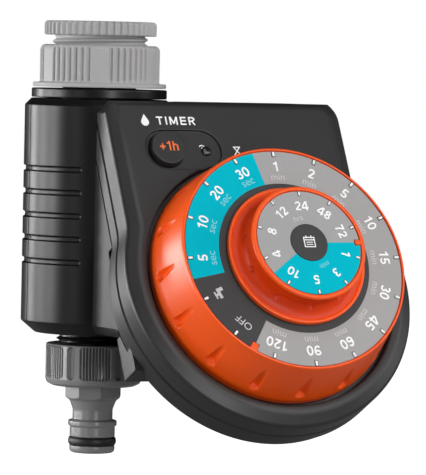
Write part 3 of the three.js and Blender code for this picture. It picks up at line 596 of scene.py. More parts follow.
def build_housing():
    shell = valve_housing()
    front = common(shell.copy(), block((-80, -120, 0), (120, -SEAM_HALF, 200)))
    rear = common(shell, block((-80, SEAM_HALF, 0), (120, 80, 200)))
    for side, half in (("front", front), ("rear", rear)):
        names = "valve_housing", [f"valve_housing_{side}"], "housing"
        piece(f"valve_housing_{side}_half", half, FLOW, HOUSING, *names)


def cross_screw(low, high, head_r=2.4, head_height=1.6):
    """Cross-recessed screw along the third axis, with the top of its head at `high`."""
    profile = [
        (0, low),
        (0.5, low),
        (1.15, low + 1.2),
        (1.15, high - head_height),
        (head_r - 0.1, high - head_height),
        (head_r, high - head_height + 0.15),
        (head_r, high - 0.7),
        (head_r - 0.35, high - 0.2),
        (head_r - 0.9, high),
        (0, high),
    ]

    def thread(angle, radius, height):
        turning = spiral(angle, height, 0.9, low + 1, high - head_height - 0.6, 0.92, 1.2)
        on_shank = (radius > 0.9) & (radius < 1.3)
        return np.where(on_shank, turning, radius)

    body = turned(divided(profile, 0.22), 40, thread)
    reach = head_r * 0.62
    arms = [spun(block((-reach, -0.24, high - 0.85), (reach, 0.24, high + 1)), a) for a in (0, 90)]
    return cut(body, *arms)


def build_housing_screws():
    for i, (x, z) in enumerate(HOUSING_SCREWS, 1):
        mesh = moved(spun(cross_screw(-8.5, 14.1), -90, "X"), x, 0, z)
        piece(f"housing_screw_{i}_head", mesh, FLOW, STEEL, "valve_housing", [f"housing_screw_{i}"], "steel")


# Valve body: collar and outlet thread show; the chamber is inside the tube.
OUTLET = {"root": 12.1, "crest": 13.2, "low": 27.2, "high": 42.0, "pitch": 1.814}
VALVE = {"z": 64.0, "r": 14.5, "back": 3.0, "face": 12.0, "screw_r": 12.7}
WATERWAY = {"lower_r": 6.4, "lower_top": 67, "upper_r": 7.6, "upper_foot": 70.5}
COLLAR = {"r": 23.5, "low": 123.6, "high": 126.8, "neck_r": 14.2, "neck": 118.3}
SPIGOT = {"r": 12.8, "lip_r": 14.8, "lip": 130.2, "top": 132.2}


def build_valve_body():
    corners = [
        (WATERWAY["lower_r"], OUTLET["low"], 0.3),
        (OUTLET["root"], OUTLET["low"], 0.4),
        (OUTLET["root"], OUTLET["high"]),
        (12.9, OUTLET["high"], 0.2),
        (12.9, 117.3),
        (COLLAR["neck_r"], COLLAR["neck"]),
        (COLLAR["neck_r"], COLLAR["low"]),
        (COLLAR["r"], COLLAR["low"], 0.3),
        (COLLAR["r"], COLLAR["high"], 0.5),
        (SPIGOT["r"], COLLAR["high"], 0.3),
        (SPIGOT["r"], SPIGOT["lip"]),
        (SPIGOT["lip_r"], SPIGOT["lip"], 0.2),
        (SPIGOT["lip_r"], SPIGOT["top"], 0.2),
        (WATERWAY["upper_r"], SPIGOT["top"], 0.2),
        (WATERWAY["upper_r"], WATERWAY["upper_foot"]),
        (0, WATERWAY["upper_foot"]),
        (0, WATERWAY["lower_top"]),
        (WATERWAY["lower_r"], WATERWAY["lower_top"]),
    ]

    def thread(angle, radius, height):
        ends = OUTLET["low"], OUTLET["high"] - 1
        turning = spiral(angle, height, OUTLET["pitch"], *ends, OUTLET["root"], OUTLET["crest"])
        on_thread = (radius > 11) & (height < OUTLET["high"] - 0.3)
        return np.where(on_thread, np.minimum(turning, radius + 1.1), radius)

    outer = turned(divided(rounded(corners), 0.35), 144, thread)
    chamber = forward(disc(VALVE["r"], VALVE["back"], VALVE["face"], 64), 0, VALVE["z"])
    lower_way = disc(WATERWAY["lower_r"], OUTLET["low"] - 1, WATERWAY["lower_top"], 48)
    annulus = forward(ring(5.6, 10.5, 7, VALVE["face"] + 1, 0.1, 48), 0, VALVE["z"])
    seat = forward(disc(4.4, 0, VALVE["face"] + 1, 32), 0, VALVE["z"] - 0.5)
    port = forward(disc(2.3, 0, 8, 24), 0, VALVE["z"] + 8)
    face = block((-16, -40, VALVE["z"] - 15), (16, -VALVE["face"], VALVE["z"] + 15))
    pilots = [
        forward(disc(1.5, 4, VALVE["face"] + 1, 20), x, z)
        for x, z in arc(0, VALVE["z"], VALVE["screw_r"], 45, 315, 3)
    ]
    body = cut(join(outer, chamber), face, lower_way, annulus, seat, port, *pilots)
    piece("valve_body_collar", body, FLOW, BLACK, "valve_housing", ["valve_body"], "black_plastic")


# Tap side: nut with grip ribs, and the ribbed reducing adapter screwed into it.
VIEW_ANGLE = 244.6  # the direction that the knurls and flats are set out from, degrees from +x
NUT = {"flange": 23.2, "low": 127.3, "step": 128.8, "r": 20.8, "high": 142.0, "hole": 13.1}
NUT_GROOVES = {"count": 7, "pitch": 6.45, "land_centre": VIEW_ANGLE + 1.5, "depth": 0.85}
ADAPTER = {"low": 135.9, "ring": 145.3, "high": 150.2, "r": 19.5, "ribs": 48, "depth": 0.75}
TAP_THREAD = {"root": 15.4, "crest": 16.6, "pitch": 2.309}


def build_inlet_nut():
    corners = [
        (NUT["hole"], NUT["low"], 0.3),
        (NUT["flange"], NUT["low"], 0.4),
        (NUT["flange"], NUT["step"], 0.45),
        (NUT["r"], NUT["step"], 0.5),
        (NUT["r"], NUT["high"], 2.6),
        (16.95, NUT["high"], 0.5),
        (16.95, 135.4),
        (15.7, 135.4),
        (15.7, 129.9),
        (NUT["hole"], 129.9),
    ]
    span = NUT_GROOVES["count"] * NUT_GROOVES["pitch"]

    def ribs(angle, radius, height):
        sector = (np.degrees(angle) - NUT_GROOVES["land_centre"] + 30) % 60 - 30
        from_first = (sector % 60) - (60 - span) / 2
        inside = (from_first > 0) & (from_first < span)
        share = np.abs((from_first / NUT_GROOVES["pitch"]) % 1 - 0.5)
        groove = 1 - smooth_step(share, 0.08, 0.34)
        fade = smooth_step(height, NUT["step"] + 0.2, NUT["step"] + 1.1)
        fade = fade * (1 - smooth_step(height, NUT["high"] - 1.6, NUT["high"] - 0.5))
        depth = NUT_GROOVES["depth"] * np.where(inside, groove, 0) * fade
        outer = (radius > 17.6) & (radius < NUT["r"] + 0.05)
        return np.where(outer, radius - depth, radius)

    mesh = turned(divided(rounded(corners, steps=6), 0.7), 960, ribs)
    piece("inlet_nut_ribbed", mesh, FLOW, PALE_GREY, "inlet_nut", ["inlet_nut"], "pale_grey")


def build_tap_adapter():
    corners = [
        (8.5, ADAPTER["low"], 0.3),
        (TAP_THREAD["root"], ADAPTER["low"], 0.4),
        (TAP_THREAD["root"], ADAPTER["ring"], 0.3),
        (ADAPTER["r"], ADAPTER["ring"], 0.5),
        (ADAPTER["r"], ADAPTER["high"], 1.3),
        (13.2, ADAPTER["high"], 0.7),
        (13.2, 138.4),
        (8.5, 138.4, 0.3),
    ]

    def ribs(angle, radius, height):
        share = np.abs((angle * ADAPTER["ribs"] / (2 * math.pi)) % 1 - 0.5)
        groove = 1 - smooth_step(share, 0.1, 0.4)
        knurl = radius - ADAPTER["depth"] * groove * smooth_step(radius, 17.6, 18.6)
        depths = TAP_THREAD["root"], TAP_THREAD["crest"]
        outside = spiral(angle, height, TAP_THREAD["pitch"], ADAPTER["low"], ADAPTER["ring"], *depths)
        inside = spiral(angle, height, OUTLET["pitch"], 140.6, ADAPTER["high"] - 0.4, 13.2, 12.1)
        male = (radius > 14.6) & (radius < 15.8) & (height < ADAPTER["ring"] - 0.1)
        female = (radius > 12.6) & (radius < 13.6) & (height > 139)
        made = np.where(radius > 17.5, knurl, radius)
        made = np.where(male, np.minimum(outside, made + 1.3), made)
        return np.where(female, np.maximum(inside, made - 1.2), made)

    mesh = turned(divided(rounded(corners, steps=5), 0.32), 768, ribs)
    piece("tap_adapter_ribbed", mesh, FLOW, PALE_GREY, "tap_adapter", ["tap_adapter"], "pale_grey")
    washer = ring(8.6, 12.0, 138.7, 140.5, 0.35, 128)
    piece("adapter_washer_ring", washer, FLOW, RUBBER_AND_PAINTED_SHADOW, "tap_adapter", ["adapter_washer"], "rubber")


# Hose side: nut with ribbed windows between plain slots, eight flats and the snap-on nipple, in one piece.
HOSE = {"r": 16.8, "low": 23.5, "high": 38.1, "flats_r": 10.05, "flats_low": 19.4, "bore": 5.5}
WINDOWS = {
    "centre": VIEW_ANGLE + 3.7,
    "half": 19.3,
    "low": 26.2,
    "high": 37.7,
    "depth": 1.15,
    "ribs": 10,
    "rise": 0.82,
}
SLOT = {"half": 5.4, "depth": 1.3}
FIRST_FLAT = VIEW_ANGLE + 17.6  # direction of one edge between two flats


def stadium(along, up, half_width, half_height, corner):
    """Signed distance inside a rounded rectangle, in millimetres: positive inside."""
    x = np.abs(along) - (half_width - corner)
    y = np.abs(up) - (half_height - corner)
    outside = np.hypot(np.maximum(x, 0), np.maximum(y, 0))
    inside = np.minimum(np.maximum(x, y), 0)
    return corner - outside - inside


def hose_nut_shape(angle, radius, height):
    """Radius of the hose nut with its sunk windows, their ribs and the plain slots between them."""
    degrees = np.degrees(angle)
    middle = (WINDOWS["low"] + WINDOWS["high"]) / 2
    tall = (WINDOWS["high"] - WINDOWS["low"]) / 2
    per_degree = math.pi / 180 * HOSE["r"]
    window = (degrees - WINDOWS["centre"] + 30) % 60 - 30
    slot = (degrees - WINDOWS["centre"]) % 60 - 30
    slot_half = SLOT["half"] * per_degree
    in_window = stadium(window * per_degree, height - middle, WINDOWS["half"] * per_degree, tall, 1.6)
    in_slot = stadium(slot * per_degree, height - middle, slot_half, tall, slot_half)
    share = np.abs(((window / WINDOWS["half"] + 1) * WINDOWS["ribs"] / 2) % 1 - 0.5)
    rib = WINDOWS["rise"] * smooth_step(share, 0.2, 0.36)
    depth = WINDOWS["depth"] * smooth_step(in_window, 0, 0.32) * (1 - rib)
    depth = np.maximum(depth, SLOT["depth"] * smooth_step(in_slot, 0, 0.3))
    outer = (radius > HOSE["r"] - 1.2) & (height > HOSE["low"] + 0.5)
    return np.where(outer, radius - depth, radius)


def hose_nut():
    corners = [
        (8.5, HOSE["low"]),
        (14.4, HOSE["low"], 0.8),
        (16.3, 24.4, 1.2),
        (HOSE["r"], 26.0, 0.8),
        (HOSE["r"], HOSE["high"], 0.6),
        (13.75, HOSE["high"], 0.3),
        (13.75, 25.1),
        (8.5, 25.1),
    ]
    return turned(divided(rounded(corners, steps=5), 0.3), 1440, hose_nut_shape)


def spanner_flats(angle, radius, height):
    """Turns the collar above the neck into eight flats."""
    flat_angle = (np.degrees(angle) - FIRST_FLAT + 22.5) % 45 - 22.5
    apothem = HOSE["flats_r"] * math.cos(math.pi / 8)
    flats = apothem / np.cos(np.radians(22.5 - np.abs(flat_angle)))
    on_flats = (radius > 9.4) & (height > 18)
    return np.where(on_flats, np.minimum(flats, radius), radius)


def hose_stem():
    corners = [
        (0, 0),
        (7.9, 0, 1.5),
        (7.9, 2.55, 0.25),
        (6.9, 2.55, 0.3),
        (6.9, 5.65, 0.3),
        (7.9, 5.65, 0.25),
        (7.9, 9.1, 0.3),
        (8.5, 9.7, 0.3),
        (8.5, 11.2, 0.4),
        (7.0, 11.7, 0.4),
        (7.0, 15.2, 3.0),
        (8.2, 18.3, 3.0),
        (9.5, 19.2, 0.3),
        (10.05, 19.7, 0.1),
        (10.05, HOSE["low"] + 0.4),
        (0, HOSE["low"] + 0.4),
    ]
    return turned(divided(rounded(corners, steps=5), 0.5), 360, spanner_flats)


def build_hose_connector():
    bore = turned([(0, -1), (HOSE["bore"] + 1, -1), (HOSE["bore"], 0.4), (HOSE["bore"], 30), (0, 30)], 96)
    mesh = cut(join(hose_nut(), hose_stem()), bore)
    names = "hose_connector", ["hose_connector"], "mid_grey"
    piece("hose_connector_moulding", mesh, FLOW, MID_GREY, *names, crease=36)
    seal = turned([(7.72 + 0.68 * x, 4.1 + 1.42 * y) for x, y in arc(0, 0, 1, 0, 345, 23)], 160)
    piece("hose_o_ring_seal", seal, FLOW, RUBBER_AND_PAINTED_SHADOW, "hose_connector", ["hose_connector_o_ring"], "rubber")


# ---------- Control unit ----------
CASE = {"left": -49.0, "right": 40.0, "top": 76.0, "drum": 52.8}
SEAM = {"cover": -9.75, "shell": -10.3}
SHELL = {"upper": -16.0, "drum": -19.4, "drum_r": 52.0, "box": -26.4}
HEEL = {"back": -24.0, "r": 49.0, "right": -36.0}  # carries the drum's wall down to the lower box
RECESS = {"r": 45.5, "floor": -3.4, "under": -5.6, "hole": 10.6}
PILL = {"left": -30.0, "right": -16.5, "v": 49.3, "r": 7.4, "depth": 1.0}
BUTTON = {"u": -29.5, "v": 49.3, "r": 6.3, "top": 2.0}
LED = {"u": -14.5, "v": 49.2, "r": 1.8}
CASE_SCREWS = [(-41.5, 40.0), (33.0, 54.0), (33.5, -30.0), (-33.0, -29.5)]
SCREW_SEAT = -13.4
TOP_LEVEL = 123.0  # height of the level top plane in the flow frame
TOP_BEVEL = {"across": 3.2, "down": 4.2}  # bevel along the top's left edge
CLEAR = 0.35


def flank_fillet(side, flank, radius):
    """Hollow arc that leads one flank into the drum, from the drum upwards, as outline points."""
    reach = CASE["drum"] + radius
    across = abs(flank) + radius
    level = math.sqrt(reach**2 - across**2)
    lean = math.degrees(math.atan2(level, across))
    if side > 0:
        return level, lean, arc(across, level, radius, 180 + lean, 180, 8)
    return level, lean, arc(-across, level, radius, 0, -lean, 8)


def case_outline():
    """The case seen along w: a drum with a flat-sided panel above it."""
    right_lean, right_arc = flank_fillet(1, CASE["right"], 12)[1:]
    left_lean, left_arc = flank_fillet(-1, CASE["left"], 20)[1:]
    drum = arc(0, 0, CASE["drum"], 180 - left_lean, 360 + right_lean, 96)
    corner = arc(31, 62, 9, 0, 90, 10)
    return drum[1:-1] + right_arc + corner + [(26, CASE["top"]), (CASE["left"], CASE["top"])] + left_arc


def tube_room(extra):
    r = GRIP["r"] + CLEAR + extra
    return placed(disc(r, -50, 250, 180), FLOW_TO_UNIT)


def above_room(extra, fillet=0.0):
    """Everything above the level top; a fillet rounds the edge where the top meets the control face."""
    level = TOP_LEVEL - extra
    if not fillet:
        return placed(block((-200, -200, level), (200, 100, 250)), FLOW_TO_UNIT)
    face_v = (level - UNIT_TO_FLOW.translation.z) / math.cos(TILT)
    edge_y, edge_z = flow_point(face_v, 0)
    bend = math.pi / 2 - TILT
    reach = fillet * math.tan(bend / 2)
    centre = (edge_y + reach, level - fillet)
    start, end = 90, 90 + math.degrees(bend) + 4
    curve = arc(*centre, fillet, start, end, 10)
    last = Vector(curve[-1])
    lean = math.radians(200) - TILT
    far = last + Vector((math.cos(lean), math.sin(lean))) * 120
    outline = [(100, level), *curve, tuple(far), (far.x, 260), (100, 260)]
    if signed_area(outline) < 0:
        outline.reverse()
    return placed(along_x(prism(outline, -200, 200)), FLOW_TO_UNIT)


def corner_room(extra):
    """Everything beyond the bevel between the left flank and the level top."""
    x = CASE["left"] + UNIT_TO_FLOW.translation.x + extra
    z = TOP_LEVEL - extra
    across, down = TOP_BEVEL["across"], TOP_BEVEL["down"]
    outline = [(x - across, z - 2 * down), (x + 2 * across, z + down), (x - across, z + down)]
    return placed(spun(prism(outline, -60, 100), 90, "X"), FLOW_TO_UNIT)


def pill_outline():
    right = arc(PILL["right"], PILL["v"], PILL["r"], -90, 90, 24)
    left = arc(PILL["left"], PILL["v"], PILL["r"], 90, 270, 24)
    return right + left


def build_front_cover():
    outline = case_outline()
    seam = SEAM["cover"]
    edge = rounded([(0.5, seam), (0, seam + 0.5), (0, -2, 1.7), (4.6, 0, 6.0), (7, 0)], False, 6)
    outside = cut(lofted(outline, edge), tube_room(0), above_room(0, 4.3), corner_room(0))
    cavity = prism(inset(outline, WALL).tolist(), -30, -3)
    cavity = cut(cavity, tube_room(WALL), above_room(WALL), corner_room(WALL))
    shell = cut(outside, cavity)
    bowl = disc(RECESS["r"] + 2, RECESS["under"], -2.5, 120)
    pill_floor = lofted(pill_outline(), [(-1.6, -3.4), (-1.6, -2.5)])
    bosses = [moved(disc(2.8, seam, -2.5, 32), u, v) for u, v in CASE_SCREWS]
    shell = join(shell, bowl, pill_floor, *bosses)
    recess = turned(rounded([
        (0, RECESS["floor"]),
        (RECESS["r"], RECESS["floor"], 0.5),
        (RECESS["r"], -0.8),
        (RECESS["r"] + 0.1, -0.45),
        (RECESS["r"] + 0.35, -0.15),
        (RECESS["r"] + 0.8, 0.03),
        (RECESS["r"] + 0.8, 6),
        (0, 6),
    ]), 240)
    pill_wall = [(0.35, -1.0), (0.1, -0.9), (0, -0.65), (0, -0.4), (-0.12, -0.14), (-0.4, 0.03), (-0.4, 3)]
    pill = lofted(pill_outline(), pill_wall)
    button_hole = moved(disc(BUTTON["r"] + GAP, -6, 5, 64), BUTTON["u"], BUTTON["v"])
    led_hole = moved(disc(LED["r"] + GAP * 0.5, -6, 5, 40), LED["u"], LED["v"])
    bores = [moved(disc(1.5, -12, -4, 24), u, v) for u, v in CASE_SCREWS]
    cover = cut(shell, recess, disc(RECESS["hole"], -10, 5, 64), pill, button_hole, led_hole, *bores)
    piece("front_cover_panel", cover, UNIT, COVER, "control_unit", ["front_cover"], "housing")


def shell_box(left, right, low, high, wall, front):
    outline = rectangle(left + wall, right - wall, low + wall, high - wall, 0.6)
    back = SHELL["box"] + wall
    if wall:
        return prism(outline, back, front)
    return lofted(outline, [(1.0, back), (0.3, back + 0.3), (0, back + 1.0), (0, front)])


def build_rear_shell():
    outline = case_outline()
    seam = SEAM["shell"]
    edge = rounded([(2, SHELL["upper"]), (0, SHELL["upper"], 0.6), (0, seam - 0.5), (0.5, seam)], False, 4)
    drum = turned(rounded([
        (0, SHELL["drum"]),
        (SHELL["drum_r"], SHELL["drum"], 0.8),
        (SHELL["drum_r"], SHELL["upper"] + 0.5),
        (0, SHELL["upper"] + 0.5),
    ]), 200)
    boxes = [(-49, 44, -25.5, -9.6), (13.3, 44, -25.5, 28.5)]

    def cradle_side(wall):
        right = CRADLE["right"] - UNIT_TO_FLOW.translation.x + 0.5 + wall
        return block((-100, CRADLE["step_v"] - 0.3 - wall, -60), (right, 100, SHELL["upper"] + wall))

    back, front = HEEL["back"], SHELL["drum"]
    cone = turned([(0, back), (HEEL["r"], back), (SHELL["drum_r"], front), (0, front)], 200)
    heel = common(cone, block((-60, boxes[0][2], back), (HEEL["right"], boxes[0][3], front)))
    walls = [shell_box(*box, 0, SHELL["upper"]) for box in boxes]
    outside = join(lofted(outline, edge), drum, heel, *walls)
    outside = cut(outside, cradle_side(0), tube_room(0), above_room(0), corner_room(0))
    cavity = join(
        prism(inset(outline, WALL).tolist(), SHELL["upper"] + WALL, 0),
        disc(SHELL["drum_r"] - WALL, SHELL["drum"] + WALL, 0, 120),
        shell_box(*boxes[0], WALL, 0),
        shell_box(*boxes[1], WALL - 0.4, 0),
    )
    cavity = cut(cavity, cradle_side(WALL), tube_room(WALL), above_room(WALL), corner_room(WALL))
    bosses = []
    holes = []
    for i, (u, v) in enumerate(CASE_SCREWS):
        back = SHELL["upper"] if i < 2 else SHELL["drum"]
        bosses.append(moved(disc(2.8, back + 0.4, seam, 32), u, v))
        holes.append(moved(disc(1.5, -40, 0, 24), u, v))
        holes.append(moved(disc(2.7, -40, SCREW_SEAT, 32), u, v))
    door = block((15.3, -23.7, -40), (42.2, 24.9, -20))
    socket = block((-40.5, 27, -17), (-31.5, 33, -13))
    shell = cut(join(cut(outside, cavity), *bosses), *holes, door, socket)
    piece("rear_shell_case", shell, UNIT, COVER, "control_unit", ["rear_shell"], "black_plastic")


def build_case_screws():
    for i, (u, v) in enumerate(CASE_SCREWS, 1):
        mesh = moved(spun(cross_screw(-SCREW_SEAT - 8.4, -SCREW_SEAT + GAP + 1.6), 180, "X"), u, v)
        piece(f"case_screw_{i}_head", mesh, UNIT, STEEL, "control_unit", [f"case_screw_{i}"], "steel")


DOOR = {"left": 15.6, "right": 41.9, "low": -23.4, "high": 24.6, "back": -26.4, "front": -24.6}


def build_battery_door():
    outline = rectangle(DOOR["left"], DOOR["right"], DOOR["low"], DOOR["high"], 1.5)
    plate = soft_slab(outline, DOOR["back"], DOOR["front"])
    middle = (DOOR["left"] + DOOR["right"]) / 2
    notch = moved(disc(4.5, -30, -25.5, 48), middle, DOOR["high"] + 1.2)
    grooves = []
    for v in np.arange(10, 18.5, 1.8):
        grooves.append(block((middle - 7, v - 0.45, -30), (middle + 7, v + 0.45, -25.9)))
    lid = cut(plate, notch, *grooves)
    piece("battery_door_lid", lid, UNIT, HOUSING, "battery_door", ["battery_door"], "black_plastic")


def build_button_and_window():
    cap = turned(rounded([
        (0, -6.4),
        (2, -6.4),
        (2, -5.6),
        (7, -5.6, 0.1),
        (7, -4.7, 0.1),
        (BUTTON["r"], -4.7),
        (BUTTON["r"], BUTTON["top"], 0.45),
        (0, BUTTON["top"] - 0.12),
    ]), 120)
    cap = moved(cap, BUTTON["u"], BUTTON["v"])
    piece("manual_button_cap", cap, UNIT, COVER, "manual_button", ["manual_button"], "black_plastic")
    dome = bow(0, -1.15, LED["r"], 0.85, 0, 90, 10)
    lens = turned([(0, -3.9), (LED["r"], -3.9), *dome], 64)
    lens = moved(lens, LED["u"], LED["v"])
    piece("led_window_lens", lens, UNIT, WINDOW, "control_unit", ["led_window"], "window")


# ---------- Dials ----------
BIG = {"skirt": 44.0, "rim": 40.9, "low": -2.9, "high": 19.1, "plate": 18.05, "label": 18.7, "wall": 2.6}
BIG_LABEL = {"inner": 22.5, "dark": 27.5, "outer": 39.5}
FLUTES = {"count": 16, "half": 1.9, "low": 1.9, "deep": 3.1, "high": 13.5, "depth": 1.7}
HUB = {"r": 8.4, "bore": 6.2, "low": -8.2}
SMALL = {"flange": 24.9, "low": 19.05, "top": 20.6, "rim": 20.7, "high": 31.0, "plate": 30.0}
SMALL_LABEL = {"inner": 6.8, "outer": 18.8}
DIMPLES = {"count": 10, "half": 1.15, "tall": 0.95, "level": 22.7, "depth": 1.05}
SHAFT_ROOM = 4.5
LABEL_THICK = 0.35
SMALL_LEVEL = SMALL["plate"] + GAP + LABEL_THICK  # face of the small label
CAP_R = SMALL_LABEL["inner"] - 0.06


def off_middle(count, angle, radius):
    """Distance round the surface from the nearest of evenly spread places, one of them at the top."""
    pitch = 2 * math.pi / count
    return np.abs((angle - math.pi / 2 + pitch / 2) % pitch - pitch / 2) * radius


def flute_depth(angle, radius, height):
    """Evenly spread scoops that start narrow and shallow at the top and end in a round, deep foot."""
    across = off_middle(FLUTES["count"], angle, radius)
    fall = np.clip((FLUTES["high"] - height) / (FLUTES["high"] - FLUTES["deep"]), 0, 1)
    foot = np.clip((height - FLUTES["low"]) / (FLUTES["deep"] - FLUTES["low"]), 0, 1) ** 0.5
    width = FLUTES["half"] * (0.4 + 0.6 * fall) * np.maximum(foot, 0.05)
    bowl = np.clip(1 - (across / width) ** 2, 0, 1) ** 0.75
    return FLUTES["depth"] * fall * foot * bowl


def dimple_depth(angle, radius, height):
    across = off_middle(DIMPLES["count"], angle, radius) / DIMPLES["half"]
    up = (height - DIMPLES["level"]) / DIMPLES["tall"]
    return DIMPLES["depth"] * np.clip(1 - across**2 - up**2, 0, 1) ** 0.7


def tick(angle, inner, outer, width, low, high):
    """Short raised bar that points outwards at an angle clockwise from the top."""
    bar = soft_slab(rectangle(-width / 2, width / 2, inner, outer, 0.15), low, high, 0.02, 0.08, 2)
    return spun(bar, -angle)


def build_duration_dial():
    slope = (BIG["skirt"] - BIG["rim"]) / (BIG["high"] - 1.2)
    corners = [
        (HUB["bore"], HUB["low"], 0.2),
        (HUB["r"], HUB["low"], 0.2),
        (HUB["r"], BIG["plate"] - 2.2),
        (BIG["rim"] + 0.2 - BIG["wall"], BIG["plate"] - 2.2),
        (BIG["skirt"] - BIG["wall"], BIG["low"]),
        (BIG["skirt"], BIG["low"], 0.3),
        (BIG["skirt"], 0, 1.0),
        (BIG["skirt"] - slope * (BIG["high"] - 1.0), BIG["high"] - 1.0, 0.5),
        (BIG["rim"] - 0.35, BIG["high"], 0.5),
        (39.8, BIG["high"], 0.3),
        (39.8, BIG["plate"]),
        (HUB["bore"], BIG["plate"]),
    ]

    def flutes(angle, radius, height):
        outer = (radius > BIG["rim"] - 0.2) & (height > 0.5) & (height < BIG["high"] - 1.2)
        return np.where(outer, radius - flute_depth(angle, BIG["skirt"], height), radius)

    body = turned(divided(rounded(corners, steps=5), 0.5), 960, flutes)
    tab = tick(213.75, 37.4, 40.4, 2.3, BIG["plate"] - 0.5, BIG["high"] - 0.1)
    piece("duration_dial_knob", join(body, tab), UNIT, ORANGE, "duration_dial", ["duration_dial"], "orange")


def painted(mesh, finishes, choose):
    """Gives each face the finish whose number choose(angle clockwise from the top, radius, height) picks."""
    mesh.materials.clear()
    for material in finishes:
        mesh.materials.append(material)
    for face in mesh.polygons:
        u, v, w = face.center
        face.material_index = choose(math.degrees(math.atan2(u, v)) % 360, math.hypot(u, v), w)


def label_ring(inner, outer, low, high, splits, tab_angle, tab_inner, tab_width, radii=()):
    """Flat ring whose faces end exactly on the printed sectors' borders, slotted for the pointer tab."""
    angles = sorted({round(a % 360, 4) for a in [*np.arange(0, 360, 2.25), *splits]})
    turns = [math.radians(90 - a) % (2 * math.pi) for a in angles]
    steps = sorted({inner, outer, *radii})
    profile = [(r, low) for r in steps] + [(r, high) for r in reversed(steps)]
    made = turned(profile, sorted(turns))
    room = block((-tab_width / 2, tab_inner, low - 5), (tab_width / 2, outer + 2, high + 5))
    return cut(made, spun(room, -tab_angle))


def build_duration_label():
    borders = [213.75, 258.75, 348.75]
    inner, dark_r, outer = BIG_LABEL["inner"], BIG_LABEL["dark"], BIG_LABEL["outer"]
    low, high = BIG["label"] - LABEL_THICK, BIG["label"]
    mesh = label_ring(inner, outer, low, high, borders, borders[0], 37.1, 2.9, [dark_r])

    def choose(angle, radius, height):
        if radius < dark_r or borders[0] < angle < borders[1]:
            return 2
        return 1 if borders[1] < angle < borders[2] else 0

    painted(mesh, [LABEL_GREY, LABEL_CYAN, LABEL_DARK], choose)
    piece("duration_label_disc", mesh, UNIT, LABEL_GREY, "duration_dial", ["duration_label"], "label")


def in_cove(angle, radius, height):
    """1 in the cove between the flange's lip and the rim, where the orange is darkened as painted shade."""
    return 1 if SMALL["top"] - 0.1 < height < 29.2 and 19 < radius < 23.5 else 0


def build_frequency_dial():
    cove = arc(23.4, 24.4, 3.85, 268, 184, 14)
    corners = [
        (SHAFT_ROOM, SMALL["low"], 0.2),
        (SMALL["flange"], SMALL["low"], 0.3),
        (SMALL["flange"], SMALL["top"] + 0.35, 0.4),
        (SMALL["flange"] - 1.0, SMALL["top"] + 0.35, 0.3),
        (SMALL["flange"] - 1.5, SMALL["top"] - 0.15, 0.2),
        *cove,
        (19.85, 27.6),
        (20.35, 29.2),
        (SMALL["rim"], SMALL["high"] - 0.6, 0.3),
        (SMALL["rim"] - 0.45, SMALL["high"], 0.35),
        (19.1, SMALL["high"], 0.3),
        (19.1, SMALL["plate"]),
        (0, SMALL["plate"]),
        (0, 27.7),
        (SHAFT_ROOM, 27.7),
    ]

    def dimples(angle, radius, height):
        on_wall = (height > SMALL["top"] + 0.2) & (height < SMALL["high"] - 1.5)
        outer = (radius > 19) & (radius < 22.8) & on_wall
        return np.where(outer, radius - dimple_depth(angle, 20.8, height), radius)

    body = turned(divided(rounded(corners, steps=5), 0.35), 720, dimples)
    hollow = ring(SHAFT_ROOM + 2, SMALL["rim"] - 5, SMALL["low"] - 1, SMALL["plate"] - 2.2, 0.2, 96)
    tab = tick(90, 17.1, 19.4, 1.7, SMALL["plate"] - 0.5, SMALL["high"] - 0.1)
    knob = join(cut(body, hollow), tab)
    # the cove's faces get the darker orange, painted shade
    painted(knob, [ORANGE, ORANGE_PAINTED_SHADE], in_cove)
    piece("frequency_dial_knob", knob, UNIT, ORANGE, "frequency_dial", ["frequency_dial"], "orange")


def build_frequency_label():
    inner, outer = SMALL_LABEL["inner"], SMALL_LABEL["outer"]
    mesh = label_ring(inner, outer, SMALL_LEVEL - LABEL_THICK, SMALL_LEVEL, [90, 234], 90, 16.8, 2.3)
    painted(mesh, [LABEL_GREY, LABEL_CYAN], lambda angle, radius, height: 1 if 90 < angle < 234 else 0)
    piece("frequency_label_disc", mesh, UNIT, LABEL_GREY, "frequency_dial", ["frequency_label"], "label")
    cap = turned(rounded([(0, 30.3), (CAP_R, 30.3), (CAP_R, 31.0, 0.25), (0, 31.0)]), 96)
    piece("dial_cap_disc", cap, UNIT, LABEL_DARK, "frequency_dial", ["dial_cap"], "black_plastic")


# ---------- Printed marks ----------
PRINT = 0.06  # thickness of printed marks


def printed(name, mesh, material, body, slot="label"):
    """Thin marks on a piece of the control unit."""
    piece(name, mesh, UNIT, material, body, slot=slot, crease=60)


def lettering(words, height):
    """Upright words centred on the origin as a thin solid of the given height, standing on w = 0."""
    curve = bpy.data.curves.new("words", "FONT")
    curve.body = words
    curve.size = 10
    curve.extrude = 0.5
    curve.resolution_u = 4
    holder = bpy.data.objects.new("words", curve)
    bpy.context.scene.collection.objects.link(holder)
    bpy.context.view_layer.update()
    graph = bpy.context.evaluated_depsgraph_get()
    mesh = bpy.data.meshes.new_from_object(holder.evaluated_get(graph))
    bpy.data.objects.remove(holder)
    points = np.array([vertex.co[:] for vertex in mesh.vertices])
    low, high = points.min(0), points.max(0)
    scale = height / (high[1] - low[1])
    centre = Matrix.Translation((-(low[0] + high[0]) / 2, -(low[1] + high[1]) / 2, -low[2]))
    mesh.transform(Matrix.Diagonal((scale, scale, PRINT / (high[2] - low[2]), 1)) @ centre)
    return cleaned(mesh)


def round_dial(mesh, angle, radius, level):
    """Moves a mark to a place on a dial, its top outwards, at an angle clockwise from the top."""
    turn = Matrix.Rotation(math.radians(-angle), 4, "Z")
    return placed(mesh, turn @ Matrix.Translation((0, radius, level)))


